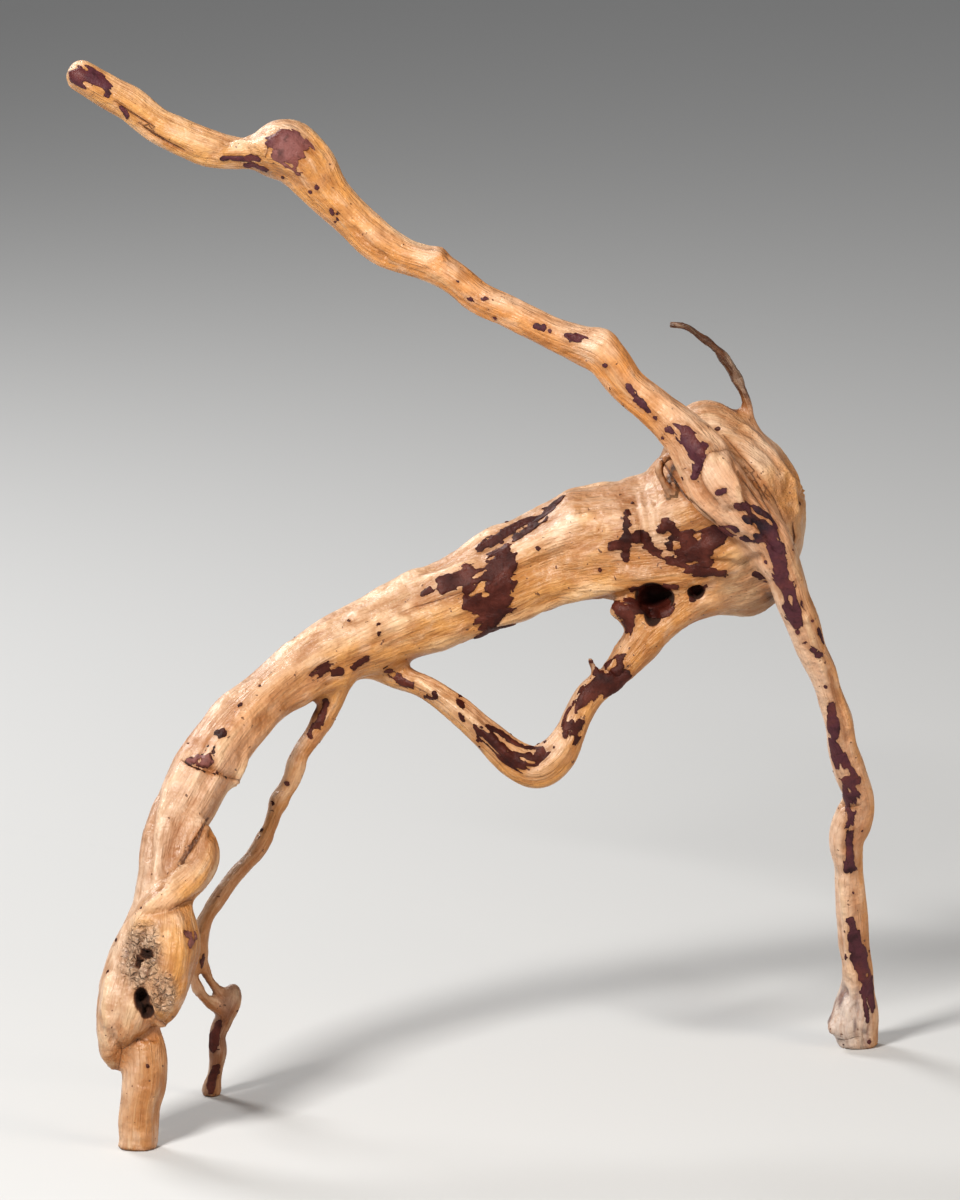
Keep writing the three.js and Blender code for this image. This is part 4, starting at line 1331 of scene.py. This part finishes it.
def build_root():
    """The wood, and the bark that is left on it."""
    limbs = [Limb(name, *rest) for name, rest in LIMBS.items()]
    points, quads, normals, crease_shade = grown_mesh(limbs)
    hollow_depth = depth_in_hollows(points)
    surface = Surface(points, limbs)
    off_floor = smoothstep(0, FLOOR_FADE, points[:, 2])
    relief = surface.relief() * off_floor
    points = points + normals * relief[:, None]
    tree = BVHTree.FromPolygons(points.tolist(), quads.tolist())

    lines = carried(tree, CRACKS) + fold_seams(tree)
    slits = carried(tree, SLITS)
    line_off, line_strength = thin_lines(points, lines)
    slit_depth, slit_radius = depth_in_strokes(points, slits)
    crack_depth, crack_radius = depth_in_strokes(points, lines + slits)
    pale_depth, _ = depth_in_strokes(points, carried(tree, PALE))
    features = carved_features(points, tree, crack_depth, crack_radius)
    points = points + normals * (features * off_floor)[:, None]
    points[:, 2] = np.where(points[:, 2] < FOOT_SNAP, 0, points[:, 2])

    balls = bark_strokes(points, tree)
    bark_depth, bark_radius = depth_in_strokes(points, balls)
    bark_depth[points[:, 2] == 0] = -REACH  # no bark under the feet
    in_slit = slit_depth > bark_depth

    root = make_object("root_wood", points, quads)
    grains, shares = zip(*[surface.grain(group) for group in range(GRAIN_GROUPS)])
    attributes = {f"grain_{group}": grain for group, grain in enumerate(grains)}
    attributes["grain_share"] = np.stack(shares, 1)
    attributes["wood_colour"] = wood_colours(
        surface, points, normals, crease_shade, relief + features, bark_depth, crack_depth, pale_depth
    )
    attributes["scar"] = scar_share(points)
    attributes["hollow_depth"] = hollow_depth
    attributes["line_off"] = line_off
    attributes["line_strength"] = line_strength
    for name, values in attributes.items():
        add_attribute(root.data, name, values)

    bark = bark_and_slit_shade_shell(
        points,
        quads,
        vertex_normals(points, quads),
        np.maximum(slit_depth, bark_depth),
        np.where(in_slit, slit_radius, bark_radius),
        np.where(in_slit, SLIT_THICKNESS, BARK_THICKNESS),
        # the slits' shells are painted near-black as shade
        np.where(in_slit[:, None], DARK_TWIG_AND_SHADE, bark_colours(surface, points)),
        surface.own_grain(),
        balls + slits,
    )
    return root, bark


# ------------------------------------------------------------------ materials

WOOD_BUMP = 0.0018  # how deep the bumps are, in metres
BARK_BUMP = 0.0008
RAGGEDNESS = 0.002  # how far the crumbs' borders stray, in metres


def opaque(colour):
    """A colour with full cover."""
    return (*colour, 1)


class Nodes:
    """Adds shader nodes to a new material and links them as they are made."""

    def __init__(self, name):
        self.material = bpy.data.materials.new(name)
        self.material.use_nodes = True
        self.tree = self.material.node_tree
        self.shader = self.tree.nodes["Principled BSDF"]

    def put(self, socket, value):
        """Links another node's output to a socket, or sets its value."""
        if isinstance(value, bpy.types.NodeSocket):
            self.tree.links.new(value, socket)
        else:
            socket.default_value = value

    def set(self, **values):
        """Sets the shader's inputs, named with underscores for spaces."""
        for name, value in values.items():
            self.put(self.shader.inputs[name.replace("_", " ")], value)

    def add(self, kind, *values):
        """A new node, with values or links for its first sockets."""
        node = self.tree.nodes.new(kind)
        for socket, value in zip(node.inputs, values):
            self.put(socket, value)
        return node

    def attribute(self, name, output="Vector"):
        node = self.add("ShaderNodeAttribute")
        node.attribute_name = name
        return node.outputs[output]

    def math(self, operation, first, second=0.0):
        node = self.add("ShaderNodeMath", first, second)
        node.operation = operation
        return node.outputs[0]

    def times(self, first, second):
        return self.math("MULTIPLY", first, second)

    def plus(self, first, second):
        return self.math("ADD", first, second)

    def vector(self, operation, first, second):
        node = self.add("ShaderNodeVectorMath", first, second)
        node.operation = operation
        return node.outputs[0]

    def noise(self, vector, scale=1.0, detail=2.0, roughness=0.5):
        node = self.add("ShaderNodeTexNoise")
        self.put(node.inputs["Vector"], vector)
        self.put(node.inputs["Scale"], scale)
        self.put(node.inputs["Detail"], detail)
        self.put(node.inputs["Roughness"], roughness)
        return node.outputs[0]

    def cell_edges(self, vector, scale):
        """How far a place is from the borders of scattered cells."""
        node = self.add("ShaderNodeTexVoronoi")
        node.feature = "DISTANCE_TO_EDGE"
        self.put(node.inputs["Vector"], vector)
        self.put(node.inputs["Scale"], scale)
        return node.outputs["Distance"]

    def eased(self, value, low, high, out_low=0.0, out_high=1.0):
        """Eases from one output to the other as a value goes from low to high."""
        node = self.add("ShaderNodeMapRange", value, low, high, out_low, out_high)
        node.interpolation_type = "SMOOTHSTEP"
        return node.outputs[0]

    def mix(self, share, first, second):
        node = self.add("ShaderNodeMix")
        node.data_type = "RGBA"
        self.put(node.inputs[0], share)
        self.put(node.inputs[6], first)
        self.put(node.inputs[7], second)
        return node.outputs[2]

    def tinted(self, colour, tone, measure, begins, full, share=1.0):
        """Mixes a tone into a colour, by a measure's values where it begins and where it is full."""
        return self.mix(self.eased(measure, begins, full, 0, share), colour, opaque(tone))

    def bump(self, height, distance):
        node = self.add("ShaderNodeBump")
        self.put(node.inputs["Height"], height)
        self.put(node.inputs["Distance"], distance)
        return node.outputs[0]


def grain_noise(nodes, across, along, detail):
    """Noise drawn out along the limbs, with features this many millimetres across and along."""
    shares = nodes.add("ShaderNodeSeparateXYZ", nodes.attribute("grain_share"))
    total = 0.0
    for group in range(GRAIN_GROUPS):
        place = nodes.attribute(f"grain_{group}")
        place = nodes.vector("MULTIPLY", place, (1 / across, 1 / across, 1 / along))
        part = nodes.times(nodes.noise(place, 1, detail), shares.outputs[group])
        total = nodes.plus(total, part)
    return total


def wood_material():
    """Streaky wood, with crumbs in the scar, and painted shade: dark lines in the cracks and the folds'
    seams, dark gaps between the crumbs, and dark hollows.
    """
    nodes = Nodes("root_wood")
    place = nodes.add("ShaderNodeTexCoord").outputs["Object"]
    scar = nodes.attribute("scar", "Fac")
    hollow = nodes.attribute("hollow_depth", "Fac")
    fibres = grain_noise(nodes, 0.8, 12, 3)
    cords = grain_noise(nodes, 2.4, 30, 2)
    blotches = grain_noise(nodes, 7, 16, 4)
    colour = nodes.attribute("wood_colour")
    tone_layers = [
        (AMBER, blotches, 0.48, 0.34, 0.4),
        (SKIN, blotches, 0.52, 0.68, 0.3),
        (AMBER, fibres, 0.5, 0.28, 0.26),
        (CREAM, fibres, 0.5, 0.75, 0.2),
        (AMBER, cords, 0.45, 0.28, 0.25),
    ]
    for tinted in tone_layers:
        colour = nodes.tinted(colour, *tinted)

    stray = nodes.vector("MULTIPLY", nodes.noise(place, 500, 2), (RAGGEDNESS,) * 3)
    crumbs = nodes.cell_edges(nodes.vector("ADD", place, stray), 260)
    # the gaps between the scar's crumbs painted brown as shade
    crevice_shade = nodes.times(nodes.eased(crumbs, 0.12, 0.02), scar)
    crevice_shade = nodes.times(crevice_shade, nodes.eased(nodes.noise(place, 160, 2), 0.48, 0.62))
    colour = nodes.mix(nodes.times(crevice_shade, 0.65), colour, opaque(BROWN))
    specks = nodes.noise(place, 330, 2, 0.6)
    colour = nodes.tinted(colour, BROWN, specks, 0.69, 0.73, 0.9)

    # dark lines painted as shade in the cracks and along the folds' seams
    off_line = nodes.math("ABSOLUTE", nodes.attribute("line_off", "Fac"))
    line = nodes.times(nodes.eased(off_line, 1.6, 0.6), nodes.attribute("line_strength", "Fac"))
    line = nodes.times(line, nodes.eased(fibres, 0.3, 0.7, 0.4, 1.4))
    colour = nodes.mix(nodes.times(line, 0.8), colour, opaque(BROWN))
    # the hollows painted brown, then near-black, as shade
    colour = nodes.tinted(colour, BROWN, hollow, -0.9, -0.4)
    colour = nodes.tinted(colour, DARK_TWIG_AND_SHADE, hollow, -0.6, -0.1, 0.65)

    gloss = nodes.eased(blotches, 0.3, 0.7, 0.5, 0.32)
    height = nodes.plus(nodes.times(cords, 0.6), nodes.times(fibres, 0.38))
    height = nodes.plus(height, nodes.times(nodes.noise(place, 180, 2), 1.1))
    height = nodes.plus(height, nodes.times(nodes.eased(crumbs, 0.0, 0.3), scar))
    height = nodes.math("SUBTRACT", height, nodes.times(line, 0.5))
    nodes.set(
        Base_Color=colour,
        Roughness=nodes.math("MAXIMUM", gloss, nodes.eased(hollow, -1.2, -0.4)),
        Coat_Weight=nodes.eased(hollow, -1.5, -0.6, 0.16, 0),
        Coat_Roughness=0.34,
        Normal=nodes.bump(height, WOOD_BUMP),
    )
    return nodes.material


def bark_material():
    """Dark bark with rusty and sooty patches, and a torn rim; it also colours the slits' near-black
    painted shade.
    """
    nodes = Nodes("root_bark")
    place = nodes.add("ShaderNodeTexCoord").outputs["Object"]
    patches = nodes.noise(place, 90, 3)
    grain = nodes.noise(place, 420, 4, 0.65)
    rim = nodes.attribute("edge", "Fac")
    colour = nodes.attribute("bark_and_slit_shade_colour")
    colour = nodes.tinted(colour, RUST, patches, 0.45, 0.68, 0.5)
    colour = nodes.tinted(colour, SOOT, patches, 0.45, 0.3, 0.6)
    colour = nodes.tinted(colour, CHAR, grain, 0.5, 0.75, 0.5)
    colour = nodes.tinted(colour, TORN, rim, 0.5, 0.0, 0.5)
    nodes.set(
        Base_Color=colour,
        Roughness=nodes.eased(patches, 0.3, 0.7, 0.6, 0.4),
        Specular_IOR_Level=0.3,
        Normal=nodes.bump(grain, BARK_BUMP),
    )
    return nodes.material


# ------------------------------------------------------------------ studio

# Lengths are metres here, and the lens and the sensor are in millimetres.
FLOOR_HALF = 20
FLOOR_TONE = (0.58, 0.58, 0.575)
WORLD_TONE = (0.82, 0.83, 0.85)
WORLD_STRENGTH = 0.26
LIT_POINT = (0, 0, 0.25)
VIEW_POINT = Vector((0.0, 0.0, 0.245))
VIEW_DISTANCE = 6.4
LENS = 400
SENSOR = 36


def add_floor():
    """A wide pale floor under the root."""
    mesh = bpy.data.meshes.new("floor")
    corners = [(-1, -1), (1, -1), (1, 1), (-1, 1)]
    mesh.from_pydata([(x * FLOOR_HALF, y * FLOOR_HALF, 0) for x, y in corners], [], [(0, 1, 2, 3)])
    floor = add_object("floor", mesh)
    nodes = Nodes("floor")
    nodes.set(Base_Color=opaque(FLOOR_TONE), Roughness=0.9)
    mesh.materials.append(nodes.material)


def add_light(name, place, size, power, colour=(1, 1, 1)):
    """A square lamp that shines at the root's middle."""
    lamp = bpy.data.lights.new(name, "AREA")
    lamp.shape = "SQUARE"
    lamp.size = size
    lamp.energy = power
    lamp.color = colour
    light = add_object(name, lamp)
    light.location = place
    light.rotation_euler = (Vector(LIT_POINT) - Vector(place)).to_track_quat("-Z", "Y").to_euler()


def add_studio():
    """Three lamps, a soft sky and the way the picture is shown."""
    add_light("key", (-0.9, -1.45, 1.7), 0.45, 50, (1, 0.98, 0.95))
    add_light("fill", (1.7, -1.2, 0.7), 1.0, 15, (1, 0.87, 0.72))
    add_light("rim", (-1.1, 1.3, 1.4), 0.7, 22)
    world = bpy.data.worlds.new("studio")
    world.use_nodes = True
    sky = world.node_tree.nodes["Background"].inputs
    sky["Color"].default_value = opaque(WORLD_TONE)
    sky["Strength"].default_value = WORLD_STRENGTH
    scene = bpy.context.scene
    scene.world = world
    scene.view_settings.view_transform = "Standard"
    scene.view_settings.look = "Medium High Contrast"


def add_camera():
    """A long lens in front of the root, raised so that it looks squarely at the board."""
    camera = add_object("camera", bpy.data.cameras.new("camera"))
    camera.data.lens = LENS
    camera.data.sensor_fit = "VERTICAL"
    camera.data.sensor_height = SENSOR
    away = Vector((0, -math.cos(BOARD_LEAN), math.sin(BOARD_LEAN)))
    camera.location = VIEW_POINT + VIEW_DISTANCE * away
    camera.rotation_euler = (VIEW_POINT - camera.location).to_track_quat("-Z", "Y").to_euler()
    bpy.context.scene.camera = camera


# ------------------------------------------------------------------ the scene

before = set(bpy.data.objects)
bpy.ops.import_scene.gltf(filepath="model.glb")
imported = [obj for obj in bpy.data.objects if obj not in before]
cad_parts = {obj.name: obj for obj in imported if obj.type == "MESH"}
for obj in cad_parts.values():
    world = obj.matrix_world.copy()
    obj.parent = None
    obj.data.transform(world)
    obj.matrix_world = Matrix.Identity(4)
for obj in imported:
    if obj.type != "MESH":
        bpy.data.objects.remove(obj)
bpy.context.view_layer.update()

root, bark = build_root()
root.data.materials.append(wood_material())
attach(root, BODY)
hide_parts(NODE)
bark.data.materials.append(bark_material())
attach(bark, BODY)

add_floor()
add_studio()
add_camera()
